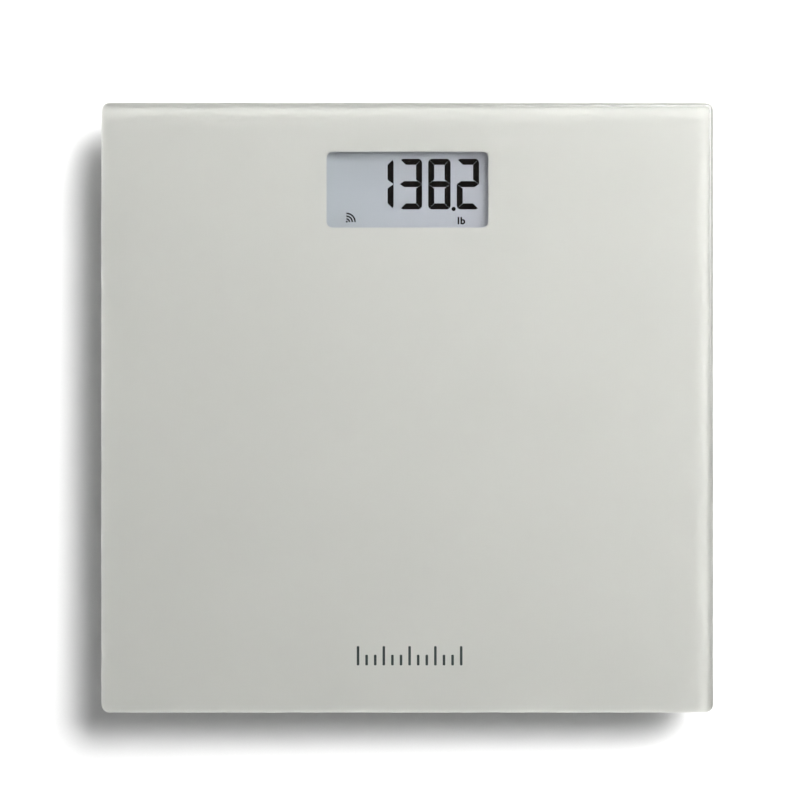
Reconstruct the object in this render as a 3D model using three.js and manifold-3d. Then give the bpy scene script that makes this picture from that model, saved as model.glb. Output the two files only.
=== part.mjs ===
// A bathroom scale with a glass platform, weighing on four load cells under its corners.
// Millimetres, +Z up, +X to the right and +Y towards the edge with the display.
// The origin is on the floor, under the middle of the glass.
import * as THREE from "three";
import { mergeVertices } from "three/addons/utils/BufferGeometryUtils.js";
import Module from "manifold-3d";

// Overall sizes
const glassWidth = 285;
const glassDepth = 284;
const overallHeight = 25;
const groundClearance = 4; // floor to the flat underside of the case

// Layers of the platform, from the top down
const glassThickness = 5;
const glassCornerRadius = 4;
const glassBevel = 0.5;
const filmThickness = 0.3;
const filmInset = 0.5; // glass edge to film edge
const tapeThickness = 0.7;
const tapeInset = 4; // case edge to tape edge
const tapeBand = 16;
const plateThickness = 1.6;

// Case
const glassOverhang = 5; // glass past the case on every side
const caseCornerRadius = 14;
const caseEdgeRound = 7;
const caseWall = 2;
const coverSkin = 2;
const coverWallHeight = 8.4; // underside of the case to the parting line
const partingGap = 0.4;
const tongueThickness = 1;
const tongueHeight = 2;
const ribThickness = 1.5;
const coverRibHeight = 2.5;
const frameRibHeight = 3.8;
const labelWidth = 70;
const labelDepth = 34;
const labelRecess = 0.3;

// Clearances
const bondGap = 0.05; // between faces that are stuck together or rest on each other
const fitGap = 0.3; // around a piece that sits in a pocket
const threadGap = 0.2; // around a screw's shank
const past = 1; // how far a cutter, or a piece to be joined, runs past the face that it meets

// Feet and load cells
const footTravel = 0.5;
const capRadius = 21.5;
const capHoleGap = 0.6;
const capBottom = 0.8;
const capEdge = 1.2;
const capFlange = 2; // flange past the cap, which keeps the foot in the cover
const capFlangeThickness = 1;
const capFlangeLift = 0.2;
const padRadius = 16;
const padThickness = 1.9;
const padEdge = 0.5;
const pressRadius = 10;
const pressThickness = 1.5;
const pressSeat = 2; // top of the foot down to the pressure plate's seat
const studRadius = 3;
const cellSize = 34;
const cellThickness = 1.5;
const cellCornerRadius = 3;
const cellTongueWidth = 15;
const cellSlotWidth = 2.5;
const cellSlotLength = 19.5;
const cellLift = 1; // load cell above the foot at its full travel
const seatRim = 5.5;
const lipThickness = 1.2;
const lipOpening = 22;
const wellGap = 0.8; // foot flange to the stiffening ring around it
const wellWall = 1.5;
const wellHeight = 2.3;
const wellFromCaseEdge = 6.7;

// Display window and board
const windowWidth = 75.3;
const windowDepth = 35.3;
const windowCornerRadius = 2.8;
const windowInset = 40.6; // display edge of the glass to the window's centre
const windowMargin = 2.2; // opening in the plate past the film's window
const displayRecess = 4; // film down to the face of the LCD
const lcdMargin = 3; // LCD past the window on every side
const lcdPlate = 1.1;
const lcdLedge = 4.5;
const lcdFrameWall = 2;
const lcdFrameLip = 1.4; // LCD frame over the LCD's edge
const zebraWidth = 2.4;
const boardBelowLcd = 2.6;
const boardThickness = 1.6;
const boardMarginX = 14; // board past the window at each end
const boardMarginY = 12.3;
const boardHoleInset = 5;
const boardHoleRadius = 1.5;
const postRadius = 3;
const postHoleRadius = 1.3;
const boardScrewHead = 2.1;
const boardScrewHeadHeight = 1.2;
const boardScrewLength = 4.5; // past the board into the post
const blobRadius = 7;
const blobHeight = 1.5;
const blobPlace = { x: -14, y: 8 };
const radioCard = { width: 16, depth: 12, height: 0.6 };
const radioCan = { width: 11, depth: 10, height: 1.2, x: -1.5 };
const radioPlace = { x: 16, y: 12 };

// Buttons and their switches
const buttonSpacing = 60;
const buttonFromBoardEdge = 15;
const buttonRadius = 5;
const buttonHoleGap = 0.3;
const buttonRecess = 0.2;
const buttonFlange = 1.5;
const buttonDish = 0.5;
const buttonDishRadius = 3.6;
const buttonScoop = 2.5; // shallow ring around the button's hole
const buttonScoopDepth = 0.5;
const switchSize = 6;
const switchHeight = 2;
const plungerRadius = 1.6;
const plungerHeight = 0.45;

// Batteries, the bay that holds them and its door
const batteryRadius = 5.25;
const batteryLength = 44.5;
const batteryNubRadius = 1.9;
const batteryNubLength = 0.8;
const batteryCount = 4;
const batteryPitch = 11;
const batteryLift = 0.25; // batteries above the inside of the cover
const bayWall = 1.4;
const baySideRoom = 0.5;
const bayWallLift = 1.6; // bay walls above the inside of the cover
const bayToBoard = 26.5;
const barLift = 3.7; // bars between the batteries above their axes
const contactThickness = 0.4;
const contactHeight = 7;
const contactWidth = 8;
const bumpRadius = 2.4;
const bumpHeight = 0.6;
const bumpRoot = 0.2; // of the bump inside its plate
const springLength = 4.5;
const springWire = 0.4;
const springBaseRadius = 3.4;
const springTipRadius = 2;
const springTurns = 2.5;
const tabHeight = 3;
const tabReach = 2;
const doorPastBay = 2.6;
const doorSideMargin = 1.6;
const doorThickness = 1.8;
const doorGap = 0.35;
const doorCornerRadius = 2;
const doorStopWidth = 1.5;
const doorStopHeight = 1.1;
const hookSpacing = 30;
const hookWidth = 7;
const hookReach = 2.4;
const hookThickness = 1;
const hookRise = 0.1;
const hookRoot = 1.4;
const latchWidth = 14;
const latchSlot = 1;
const latchLength = 10;
const latchLip = 1.5;
const latchLipHeight = 1.1;
const gripCount = 4;
const gripPitch = 2;
const gripWidth = 0.8;
const gripDepth = 0.4;
const notchRadius = 8;
const notchReach = 5;
const notchDepth = 1.1;

// Cover screws
const screwShankRadius = 1.4;
const screwHeadRadius = 2.8;
const screwHeadHeight = 1.8;
const screwRecess = 1; // head below the underside
const screwReach = 8;
const screwBossRadius = 3.6;
const screwBossGap = 0.2;
const screwCollar = 1.4;
const screwCollarHeight = 2.9;
const screwFromCaseEdge = 14;
const screwBesideBoard = 8;
const crossLength = 3;
const crossWidth = 0.8;
const crossDepth = 0.8;

// Leads
const cellLeadRadius = 1;
const batteryLeadRadius = 0.8;
const leadEndGap = 0.3;
const leadHeight = 10.9;
const leadFromBoard = 5;
const leadStep = 10;
const leadSides = 8;

// Fineness of round shapes
const largeRound = 24;
const smallRound = 10;
const cornerSteps = 3;
const edgeRoundSteps = 2;
const domeSteps = 4;
const springSteps = 20;
const springSides = 5;

// Heights worked out from the layers
const glassBottom = overallHeight - glassThickness;
const filmTop = glassBottom - bondGap;
const filmBottom = filmTop - filmThickness;
const tapeTop = filmBottom - bondGap;
const tapeBottom = tapeTop - tapeThickness;
const plateTop = tapeBottom - bondGap;
const plateBottom = plateTop - plateThickness;
const skinTop = groundClearance + coverSkin;
const partingLine = groundClearance + coverWallHeight;
const flangeBottom = skinTop + capFlangeLift;
const flangeTop = flangeBottom + capFlangeThickness;
const cellBottom = flangeTop + footTravel + cellLift;
const cellTop = cellBottom + cellThickness;
const lcdTop = filmBottom - displayRecess;
const lcdMiddle = lcdTop - lcdPlate;
const lcdBottom = lcdMiddle - lcdPlate;
const boardTop = lcdBottom - boardBelowLcd;
const boardBottom = boardTop - boardThickness;
const switchTop = boardBottom - bondGap;
const switchBottom = switchTop - switchHeight;
const plungerBottom = switchBottom - plungerHeight;
const batteryAxis = skinTop + batteryLift + batteryRadius;
const bayBottom = skinTop + bayWallLift;
const screwSeat = groundClearance + screwRecess + screwHeadHeight;
const collarTop = skinTop + screwCollarHeight;

// Places worked out from the plan
const caseWidth = glassWidth - 2 * glassOverhang;
const caseDepth = glassDepth - 2 * glassOverhang;
const flangeRadius = capRadius + capFlange;
const wellRadius = flangeRadius + wellGap;
const footFromCaseEdge = wellRadius + wellWall + wellFromCaseEdge;
const footX = caseWidth / 2 - footFromCaseEdge;
const footY = caseDepth / 2 - footFromCaseEdge;
const windowY = glassDepth / 2 - windowInset;
const lcdWidth = windowWidth + 2 * lcdMargin;
const lcdDepth = windowDepth + 2 * lcdMargin;
const boardWidth = windowWidth + 2 * boardMarginX;
const boardDepth = windowDepth + 2 * boardMarginY;
const boardNear = windowY - boardDepth / 2;
const bayWidth = batteryCount * batteryPitch + 2 * baySideRoom;
const contactRoom = bondGap + contactThickness;
const bayLength = 2 * contactRoom + bumpHeight + 2 * bondGap + batteryLength + springLength;
const bayFar = boardNear - bayToBoard;
const bayNear = bayFar - bayLength;
const bayY = (bayFar + bayNear) / 2;
const openingWidth = bayWidth + 2 * (bayWall + doorSideMargin);
const openingDepth = bayLength + 2 * (bayWall + doorPastBay);
const openingNear = bayY - openingDepth / 2;
const openingFar = bayY + openingDepth / 2;
const sideScrewX = caseWidth / 2 - screwFromCaseEdge;
const farScrewX = boardWidth / 2 + screwBesideBoard;
const farScrewY = caseDepth / 2 - screwFromCaseEdge;
const screwPlaces = [
  { name: "far_left", x: -farScrewX, y: farScrewY },
  { name: "far_right", x: farScrewX, y: farScrewY },
  { name: "left", x: -sideScrewX, y: 0 },
  { name: "right", x: sideScrewX, y: 0 },
  { name: "near_left", x: -farScrewX, y: -farScrewY },
  { name: "near_right", x: farScrewX, y: -farScrewY },
];
const corners = [
  { name: "far_left", side: -1, end: 1 },
  { name: "far_right", side: 1, end: 1 },
  { name: "near_left", side: -1, end: -1 },
  { name: "near_right", side: 1, end: -1 },
];
const buttonPlaces = [
  { name: "unit", x: -buttonSpacing / 2 },
  { name: "pairing", x: buttonSpacing / 2 },
];
const buttonY = boardNear + buttonFromBoardEdge;

// Looks: colour, roughness and metalness
const clearGlass = [0xdde8e2, 0.05, 0];
const greyPrint = [0xcdcec8, 0.35, 0];
const greyPlastic = [0xd6d7d3, 0.55, 0];
const whitePlastic = [0xe9eae8, 0.5, 0];
const foamTape = [0xf2f2ee, 0.9, 0];
const darkRubber = [0x55585a, 0.9, 0];
const zebraRubber = [0xb7a9a2, 0.8, 0];
const steel = [0xb9bcbe, 0.35, 1];
const nickel = [0xcfcfc8, 0.25, 1];
const zincScrew = [0x9c9fa3, 0.35, 1];
const lcdGlass = [0xb6c1c7, 0.15, 0];
const boardGreen = [0x1e5a3a, 0.5, 0];
const blackResin = [0x141414, 0.3, 0];
const switchBlack = [0x26272a, 0.5, 0];
const batteryJacket = [0x5f7f96, 0.35, 0.3];
const whiteSheath = [0xe4e4e0, 0.6, 0];
const redSheath = [0xa8261f, 0.6, 0];
const blackSheath = [0x1c1c1c, 0.6, 0];

const wasm = await Module();
wasm.setup();

// A closed three.js geometry as a solid that can be joined and cut.
function solidOf(geometry) {
  geometry.deleteAttribute("normal");
  geometry.deleteAttribute("uv");
  const merged = mergeVertices(geometry);
  const vertProperties = new Float32Array(merged.attributes.position.array);
  const triVerts = new Uint32Array(merged.index.array);
  return new wasm.Manifold(new wasm.Mesh({ numProp: 3, vertProperties, triVerts }));
}

function geometryOf(solid) {
  const mesh = solid.getMesh();
  const geometry = new THREE.BufferGeometry();
  geometry.setAttribute("position", new THREE.BufferAttribute(mesh.vertProperties, 3));
  geometry.setIndex(new THREE.BufferAttribute(mesh.triVerts, 1));
  geometry.computeVertexNormals();
  return geometry;
}

function roundedRectangle(width, depth, radius, x = 0, y = 0) {
  const left = x - width / 2;
  const right = x + width / 2;
  const near = y - depth / 2;
  const far = y + depth / 2;
  const shape = new THREE.Shape();
  shape.absarc(right - radius, far - radius, radius, 0, Math.PI / 2);
  shape.absarc(left + radius, far - radius, radius, Math.PI / 2, Math.PI);
  shape.absarc(left + radius, near + radius, radius, Math.PI, 1.5 * Math.PI);
  shape.absarc(right - radius, near + radius, radius, 1.5 * Math.PI, 2 * Math.PI);
  shape.closePath();
  return shape;
}

function slab(shape, bottom, top) {
  const options = { depth: top - bottom, bevelEnabled: false, curveSegments: cornerSteps };
  return solidOf(new THREE.ExtrudeGeometry(shape, options).translate(0, 0, bottom));
}

function box(width, depth, bottom, top, x = 0, y = 0) {
  const middle = (bottom + top) / 2;
  return solidOf(new THREE.BoxGeometry(width, depth, top - bottom).translate(x, y, middle));
}

function disc(radius, bottom, top, x = 0, y = 0, sides = smallRound) {
  const geometry = new THREE.CylinderGeometry(radius, radius, top - bottom, sides);
  geometry.rotateX(Math.PI / 2);
  return solidOf(geometry.translate(x, y, (bottom + top) / 2));
}

// A solid turned round the Z axis from [radius, height] points that start and end on the axis.
function turned(profile, sides = largeRound) {
  const points = profile.map(([radius, height]) => new THREE.Vector2(radius, height));
  return solidOf(new THREE.LatheGeometry(points, sides).rotateX(Math.PI / 2));
}

function sweep(curve, radius, steps, sides) {
  const corner = (index) => (2 * Math.PI * index) / sides;
  const rim = Array.from({ length: sides }, (unused, index) => corner(index));
  const section = new THREE.Shape(
    rim.map((angle) => new THREE.Vector2(radius * Math.cos(angle), radius * Math.sin(angle))),
  );
  return solidOf(new THREE.ExtrudeGeometry(section, { steps, extrudePath: curve }));
}

function joined(solids) {
  return solids.reduce((whole, solid) => whole.add(solid));
}

function addPiece(parent, name, solid, look) {
  const [color, roughness, metalness] = look;
  const material = new THREE.MeshStandardMaterial({ color, roughness, metalness });
  const mesh = new THREE.Mesh(geometryOf(solid), material);
  mesh.name = name;
  parent.add(mesh);
  return mesh;
}

const scale = new THREE.Group();

// Platform: glass over a film with a clear window, on double-sided tape.

function glassPlatform() {
  const width = glassWidth - 2 * glassBevel;
  const depth = glassDepth - 2 * glassBevel;
  const outline = roundedRectangle(width, depth, glassCornerRadius - glassBevel);
  const geometry = new THREE.ExtrudeGeometry(outline, {
    depth: glassThickness - 2 * glassBevel,
    bevelSize: glassBevel,
    bevelThickness: glassBevel,
    bevelSegments: edgeRoundSteps,
    curveSegments: cornerSteps,
  });
  return solidOf(geometry.translate(0, 0, glassBottom + glassBevel));
}

function decorFilm() {
  const width = glassWidth - 2 * filmInset;
  const depth = glassDepth - 2 * filmInset;
  const outline = roundedRectangle(width, depth, glassCornerRadius - filmInset);
  outline.holes.push(
    roundedRectangle(windowWidth, windowDepth, windowCornerRadius, 0, windowY),
  );
  return slab(outline, filmBottom, filmTop);
}

function bondingTape() {
  const width = caseWidth - 2 * tapeInset;
  const depth = caseDepth - 2 * tapeInset;
  const sheet = slab(
    roundedRectangle(width, depth, caseCornerRadius - tapeInset),
    tapeBottom,
    tapeTop,
  );
  const below = tapeBottom - past;
  const above = tapeTop + past;
  const displayWidth = windowWidth + 2 * windowMargin;
  const displayDepth = windowDepth + 2 * windowMargin;
  const display = box(displayWidth, displayDepth, below, above, 0, windowY);
  const openFar = windowY - displayDepth / 2 - tapeBand;
  const openNear = -depth / 2 + tapeBand;
  const openY = (openFar + openNear) / 2;
  const open = box(width - 2 * tapeBand, openFar - openNear, below, above, 0, openY);
  return sheet.subtract(display).subtract(open);
}

addPiece(scale, "glass_platform", glassPlatform(), clearGlass);
addPiece(scale, "decor_film", decorFilm(), greyPrint);
addPiece(scale, "bonding_tape", bondingTape(), foamTape);

// Upper frame: a plate with a skirt, and under it the load cell seats, the battery bay,
// the posts for the board and the bosses for the cover's screws.

function frameShell() {
  const outer = roundedRectangle(caseWidth, caseDepth, caseCornerRadius);
  const inner = roundedRectangle(
    caseWidth - 2 * caseWall,
    caseDepth - 2 * caseWall,
    caseCornerRadius - caseWall,
  );
  const skirtBottom = partingLine + partingGap;
  const shell = slab(outer, skirtBottom, plateTop).subtract(
    slab(inner, skirtBottom - past, plateBottom),
  );
  return shell.add(frameTongue());
}

// A thin wall behind the parting line, which keeps the cover in line with the frame.
function frameTongue() {
  const inset = caseWall + fitGap;
  const ring = (extra) =>
    roundedRectangle(
      caseWidth - 2 * (inset + extra),
      caseDepth - 2 * (inset + extra),
      caseCornerRadius - inset - extra,
    );
  const bottom = partingLine - tongueHeight;
  const wall = slab(ring(0), bottom, plateBottom);
  const tongue = wall.subtract(slab(ring(tongueThickness), bottom - past, plateBottom + past));
  const webHeight = partingLine + partingGap;
  const web = slab(ring(-fitGap), webHeight, plateBottom);
  return tongue.add(web.subtract(slab(ring(tongueThickness), webHeight - past, plateBottom + past)));
}

// A square wall that a load cell's rim rests against, with lips at its four corners and a
// notch towards the middle of the case for the lead.
function loadCellSeat(side, end) {
  const x = side * footX;
  const y = end * footY;
  const lipSize = cellSize + 2 * (fitGap + lipThickness);
  const pocket = cellSize + 2 * fitGap;
  const seatHole = cellSize - 2 * seatRim;
  const seatBottom = cellTop + bondGap;
  const lipBottom = cellBottom + bondGap;
  const below = lipBottom - past;
  const notchWidth = 2 * (cellLeadRadius + fitGap);
  const notchTop = seatBottom + cellLeadRadius + fitGap;
  return box(lipSize, lipSize, lipBottom, plateBottom + past, x, y)
    .subtract(box(seatHole, seatHole, below, plateBottom, x, y))
    .subtract(box(pocket, pocket, below, seatBottom, x, y))
    .subtract(box(lipSize + 2 * past, lipOpening, below, seatBottom, x, y))
    .subtract(box(lipOpening, lipSize + 2 * past, below, seatBottom, x, y))
    .subtract(box(lipSize, notchWidth, below, notchTop, x - (side * lipSize) / 2, y));
}

function batteryBay() {
  const outerWidth = bayWidth + 2 * bayWall;
  const outerLength = bayLength + 2 * bayWall;
  const walls = box(outerWidth, outerLength, bayBottom, plateBottom + past, 0, bayY).subtract(
    box(bayWidth, bayLength, bayBottom - past, plateBottom, 0, bayY),
  );
  const bars = [];
  for (let index = 1; index < batteryCount; index += 1) {
    const x = (index - batteryCount / 2) * batteryPitch;
    const barBottom = batteryAxis + barLift;
    bars.push(box(ribThickness, batteryLength / 2, barBottom, plateBottom + past, x, bayY));
  }
  const slotWidth = outerWidth + 2 * past;
  const slotDepth = contactThickness + 2 * bondGap + 2 * fitGap;
  const slotBottom = batteryAxis - tabHeight / 2 - fitGap;
  const slotTop = batteryAxis + tabHeight / 2 + fitGap;
  const tabSlot = box(slotWidth, slotDepth, slotBottom, slotTop, 0, contactY(-1));
  const bayInside = box(bayWidth, bayLength, bayBottom - past, plateBottom, 0, bayY);
  return joined([walls, ...bars]).subtract(tabSlot.subtract(bayInside));
}

function frameRibs() {
  const bottom = plateBottom - frameRibHeight;
  const top = plateBottom + past;
  const ribX = (footX + openingWidth / 2) / 2;
  const reach = footY - cellSize / 2 - seatRim;
  const along = [-ribX, ribX].map((x) => box(ribThickness, 2 * reach, bottom, top, x));
  const acrossY = (bayNear - bayWall - footY + cellSize / 2) / 2;
  const across = box(caseWidth - 2 * caseWall, ribThickness, bottom, top, 0, acrossY);
  return joined([...along, across]);
}

function boardHolePlaces() {
  const x = boardWidth / 2 - boardHoleInset;
  const y = boardDepth / 2 - boardHoleInset;
  return [
    { name: "far_left", x: -x, y: windowY + y },
    { name: "far_right", x, y: windowY + y },
    { name: "near_left", x: -x, y: windowY - y },
    { name: "near_right", x, y: windowY - y },
  ];
}

function upperFrame() {
  const seats = corners.map(({ side, end }) => loadCellSeat(side, end));
  const boardPosts = boardHolePlaces().map(({ x, y }) =>
    disc(postRadius, boardTop + bondGap, plateBottom + past, x, y),
  );
  const bossBottom = collarTop + screwBossGap;
  const bosses = screwPlaces.map(({ x, y }) =>
    disc(screwBossRadius, bossBottom, plateBottom + past, x, y),
  );
  const whole = joined([
    frameShell(),
    ...seats,
    batteryBay(),
    frameRibs(),
    ...boardPosts,
    ...bosses,
  ]);
  const windowCut = slab(
    roundedRectangle(
      windowWidth + 2 * windowMargin,
      windowDepth + 2 * windowMargin,
      windowCornerRadius,
      0,
      windowY,
    ),
    plateBottom - past,
    plateTop + past,
  );
  const boardScrewTop = boardTop + boardScrewLength + fitGap;
  const boardPilots = boardHolePlaces().map(({ x, y }) =>
    disc(postHoleRadius, boardTop - past, boardScrewTop, x, y),
  );
  const pilotTop = screwSeat + screwReach + fitGap;
  const pilots = screwPlaces.map(({ x, y }) =>
    disc(screwShankRadius + threadGap, bossBottom - past, pilotTop, x, y),
  );
  return whole.subtract(joined([windowCut, ...boardPilots, ...pilots]));
}

// Base cover: a tray with rounded edges, which closes the case from below.

function tray(bottom, wall) {
  const inset = 2 * caseEdgeRound;
  const outline = roundedRectangle(
    caseWidth - inset,
    caseDepth - inset,
    caseCornerRadius - caseEdgeRound,
  );
  const geometry = new THREE.ExtrudeGeometry(outline, {
    depth: caseEdgeRound + coverWallHeight,
    bevelSize: caseEdgeRound - wall,
    bevelThickness: caseEdgeRound - (bottom - groundClearance),
    bevelSegments: edgeRoundSteps,
    curveSegments: cornerSteps,
  });
  return solidOf(geometry.translate(0, 0, groundClearance + caseEdgeRound));
}

function coverShell() {
  const shell = tray(groundClearance, 0).subtract(tray(skinTop, caseWall));
  const above = box(2 * caseWidth, 2 * caseDepth, partingLine, 2 * overallHeight + partingLine);
  return shell.subtract(above);
}

function coverRibs() {
  const bottom = skinTop - past;
  const top = skinTop + coverRibHeight;
  const ribX = openingWidth / 2 + 2 * doorStopWidth;
  const nearEnd = -caseDepth / 2 + 2 * caseEdgeRound;
  const farEnd = openingNear - hookReach - 2 * fitGap - ribThickness;
  const along = [-ribX, ribX].map((x) =>
    box(ribThickness, farEnd - nearEnd, bottom, top, x, (nearEnd + farEnd) / 2),
  );
  const across = box(2 * sideScrewX, ribThickness, bottom, top, 0, farEnd);
  return joined([...along, across]);
}

function footWell(x, y) {
  const ring = disc(wellRadius + wellWall, skinTop - past, skinTop + wellHeight, x, y, largeRound);
  return ring.subtract(disc(wellRadius, skinTop, skinTop + wellHeight + past, x, y, largeRound));
}

function doorStops() {
  const stopX = openingWidth / 2;
  const bottom = skinTop - past;
  const width = 2 * doorStopWidth;
  const length = openingDepth - 2 * (doorPastBay + bayWall);
  const stops = [-stopX, stopX].map((x) =>
    box(width, length, bottom, skinTop + doorStopHeight, x, bayY),
  );
  return joined(stops).subtract(box(openingWidth, openingDepth, bottom - past, skinTop, 0, bayY));
}

function buttonHole(x) {
  const holeRadius = buttonRadius + buttonHoleGap;
  const hole = disc(holeRadius, groundClearance - past, skinTop + past, x, buttonY, largeRound);
  const scoopRadius = holeRadius + buttonScoop;
  const scoopTop = groundClearance + buttonScoopDepth;
  return hole.add(disc(scoopRadius, groundClearance - past, scoopTop, x, buttonY, largeRound));
}

function fingerNotch() {
  const sphere = new THREE.SphereGeometry(1, largeRound / 2, largeRound / 4);
  sphere.scale(notchRadius, notchReach, notchDepth);
  return solidOf(sphere.translate(0, openingFar, groundClearance));
}

function baseCover() {
  const collars = screwPlaces.map(({ x, y }) =>
    disc(screwHeadRadius + screwCollar, skinTop - past, collarTop, x, y),
  );
  const wells = corners.map(({ side, end }) => footWell(side * footX, end * footY));
  const whole = joined([coverShell(), coverRibs(), ...collars, ...wells]);
  const below = groundClearance - past;
  const counterbores = screwPlaces.map(({ x, y }) =>
    disc(screwHeadRadius + fitGap, below, screwSeat + bondGap, x, y),
  );
  const shankHoles = screwPlaces.map(({ x, y }) =>
    disc(screwShankRadius + fitGap, below, collarTop + past, x, y),
  );
  const footHoles = corners.map(({ side, end }) =>
    disc(
      capRadius + capHoleGap,
      below,
      skinTop + wellHeight + past,
      side * footX,
      end * footY,
      largeRound,
    ),
  );
  const buttonHoles = buttonPlaces.map(({ x }) => buttonHole(x));
  const doorway = slab(
    roundedRectangle(openingWidth, openingDepth, doorCornerRadius, 0, bayY),
    below,
    skinTop + past,
  );
  const labelY = (openingNear - caseDepth / 2) / 2;
  const labelTop = groundClearance + labelRecess;
  const label = box(labelWidth, labelDepth, below, labelTop, 0, labelY);
  const cuts = [...counterbores, ...shankHoles, ...footHoles, ...buttonHoles];
  return whole.subtract(joined([doorway, label, fingerNotch(), ...cuts])).add(doorStops());
}

addPiece(scale, "upper_frame", upperFrame(), greyPlastic);
addPiece(scale, "base_cover", baseCover(), greyPlastic);

function coverScrew() {
  const headBottom = screwSeat - screwHeadHeight;
  const shankTop = screwSeat + screwReach;
  const head = disc(screwHeadRadius, headBottom, screwSeat);
  const shank = disc(screwShankRadius, screwSeat - past, shankTop);
  const cross = box(crossLength, crossWidth, headBottom - past, headBottom + crossDepth).add(
    box(crossWidth, crossLength, headBottom - past, headBottom + crossDepth),
  );
  return head.add(shank).subtract(cross);
}

for (const { name, x, y } of screwPlaces) {
  addPiece(scale, `cover_screw_${name}`, coverScrew(), zincScrew).position.set(x, y, 0);
}

// Battery door: a flat plate, hooked at its near end and latched at its far end.

function batteryDoor() {
  const width = openingWidth - 2 * doorGap;
  const depth = openingDepth - 2 * doorGap;
  const top = groundClearance + doorThickness;
  const near = bayY - depth / 2;
  const far = bayY + depth / 2;
  const plate = slab(
    roundedRectangle(width, depth, doorCornerRadius - doorGap, 0, bayY),
    groundClearance,
    top,
  );
  const hookBottom = skinTop + hookRise;
  const hookTop = hookBottom + hookThickness;
  const hooks = [-hookSpacing / 2, hookSpacing / 2].flatMap((x) => [
    box(hookWidth, hookRoot, top - past, hookTop, x, near + hookRoot / 2),
    box(hookWidth, hookReach + past, hookBottom, hookTop, x, near + (past - hookReach) / 2),
  ]);
  const lipTop = top + latchLipHeight;
  const lip = box(latchWidth, latchLip, top - past, lipTop, 0, far - latchLip / 2);
  const slots = [-1, 1].map((side) =>
    box(
      latchSlot,
      latchLength + past,
      groundClearance - past,
      lipTop,
      (side * (latchWidth + latchSlot)) / 2,
      far + (past - latchLength) / 2,
    ),
  );
  const grips = Array.from({ length: gripCount }, (unused, index) =>
    box(
      latchWidth - 2 * gripWidth,
      gripWidth,
      groundClearance - past,
      groundClearance + gripDepth,
      0,
      far - latchLip - gripWidth - index * gripPitch,
    ),
  );
  return joined([plate, ...hooks, lip]).subtract(joined([...slots, ...grips]));
}

addPiece(scale, "battery_door", batteryDoor(), greyPlastic);

// Buttons in the cover, and the switches on the board that they push.

function button() {
  const bottom = groundClearance + buttonRecess;
  const top = plungerBottom - bondGap;
  const shoulder = skinTop + bondGap;
  return turned([
    [0, bottom + buttonDish],
    [buttonDishRadius, bottom + buttonDish],
    [buttonDishRadius + buttonDish, bottom],
    [buttonRadius, bottom],
    [buttonRadius, shoulder],
    [buttonRadius + buttonFlange, shoulder],
    [buttonRadius + buttonFlange, top],
    [0, top],
  ]);
}

function tactSwitch() {
  const body = box(switchSize, switchSize, switchBottom, switchTop);
  return body.add(disc(plungerRadius, plungerBottom, switchBottom + past));
}

for (const { name, x } of buttonPlaces) {
  addPiece(scale, `${name}_button`, button(), whitePlastic).position.set(x, buttonY, 0);
  addPiece(scale, `tact_switch_${name}`, tactSwitch(), switchBlack).position.set(x, buttonY, 0);
}

// Feet: a cap with a rubber pad under it and a pressure plate in it, below each load cell.

function footCap() {
  const padRoof = padThickness + bondGap;
  const padHole = padRadius + fitGap;
  const seat = flangeTop - pressSeat;
  return turned([
    [0, padRoof],
    [padHole, padRoof],
    [padHole, capBottom],
    [capRadius - capEdge, capBottom],
    [capRadius, capBottom + capEdge],
    [capRadius, flangeBottom],
    [flangeRadius, flangeBottom],
    [flangeRadius, flangeTop],
    [pressRadius + fitGap, flangeTop],
    [pressRadius + fitGap, seat],
    [0, seat],
  ]);
}

function footPad() {
  return turned([
    [0, 0],
    [padRadius - padEdge, 0],
    [padRadius, padEdge],
    [padRadius, padThickness],
    [0, padThickness],
  ]);
}

function pressurePlate() {
  const bottom = flangeTop - pressSeat + bondGap;
  const top = bottom + pressThickness;
  const profile = [
    [0, bottom],
    [pressRadius, bottom],
    [pressRadius, top],
    [studRadius, top],
    [studRadius, cellBottom - bondGap],
    [0, cellBottom - bondGap],
  ];
  return turned(profile, largeRound / 2);
}

// A plate with a slot round three sides of a tongue, so that it bends when the foot pushes.
function loadCell() {
  const outer = cellTongueWidth / 2 + cellSlotWidth;
  const inner = cellTongueWidth / 2;
  const far = cellSlotLength / 2;
  const near = -cellSlotLength / 2;
  const slot = [
    [-outer, far],
    [-inner, far],
    [-inner, near + cellSlotWidth],
    [inner, near + cellSlotWidth],
    [inner, far],
    [outer, far],
    [outer, near],
    [-outer, near],
  ];
  const outline = roundedRectangle(cellSize, cellSize, cellCornerRadius);
  outline.holes.push(new THREE.Path(slot.map(([x, y]) => new THREE.Vector2(x, y))));
  return slab(outline, cellBottom, cellTop);
}

for (const { name, side, end } of corners) {
  const corner = new THREE.Group();
  corner.position.set(side * footX, end * footY, 0);
  addPiece(corner, `foot_cap_${name}`, footCap(), whitePlastic);
  addPiece(corner, `foot_pad_${name}`, footPad(), darkRubber);
  addPiece(corner, `pressure_plate_${name}`, pressurePlate(), steel);
  addPiece(corner, `load_cell_${name}`, loadCell(), steel);
  scale.add(corner);
}

// Display and board, below the window.

function lcdCell() {
  const front = box(lcdWidth, lcdDepth, lcdMiddle, lcdTop, 0, windowY);
  const backY = windowY + lcdLedge / 2;
  return front.add(box(lcdWidth, lcdDepth - lcdLedge, lcdBottom, lcdMiddle + bondGap, 0, backY));
}

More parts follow.
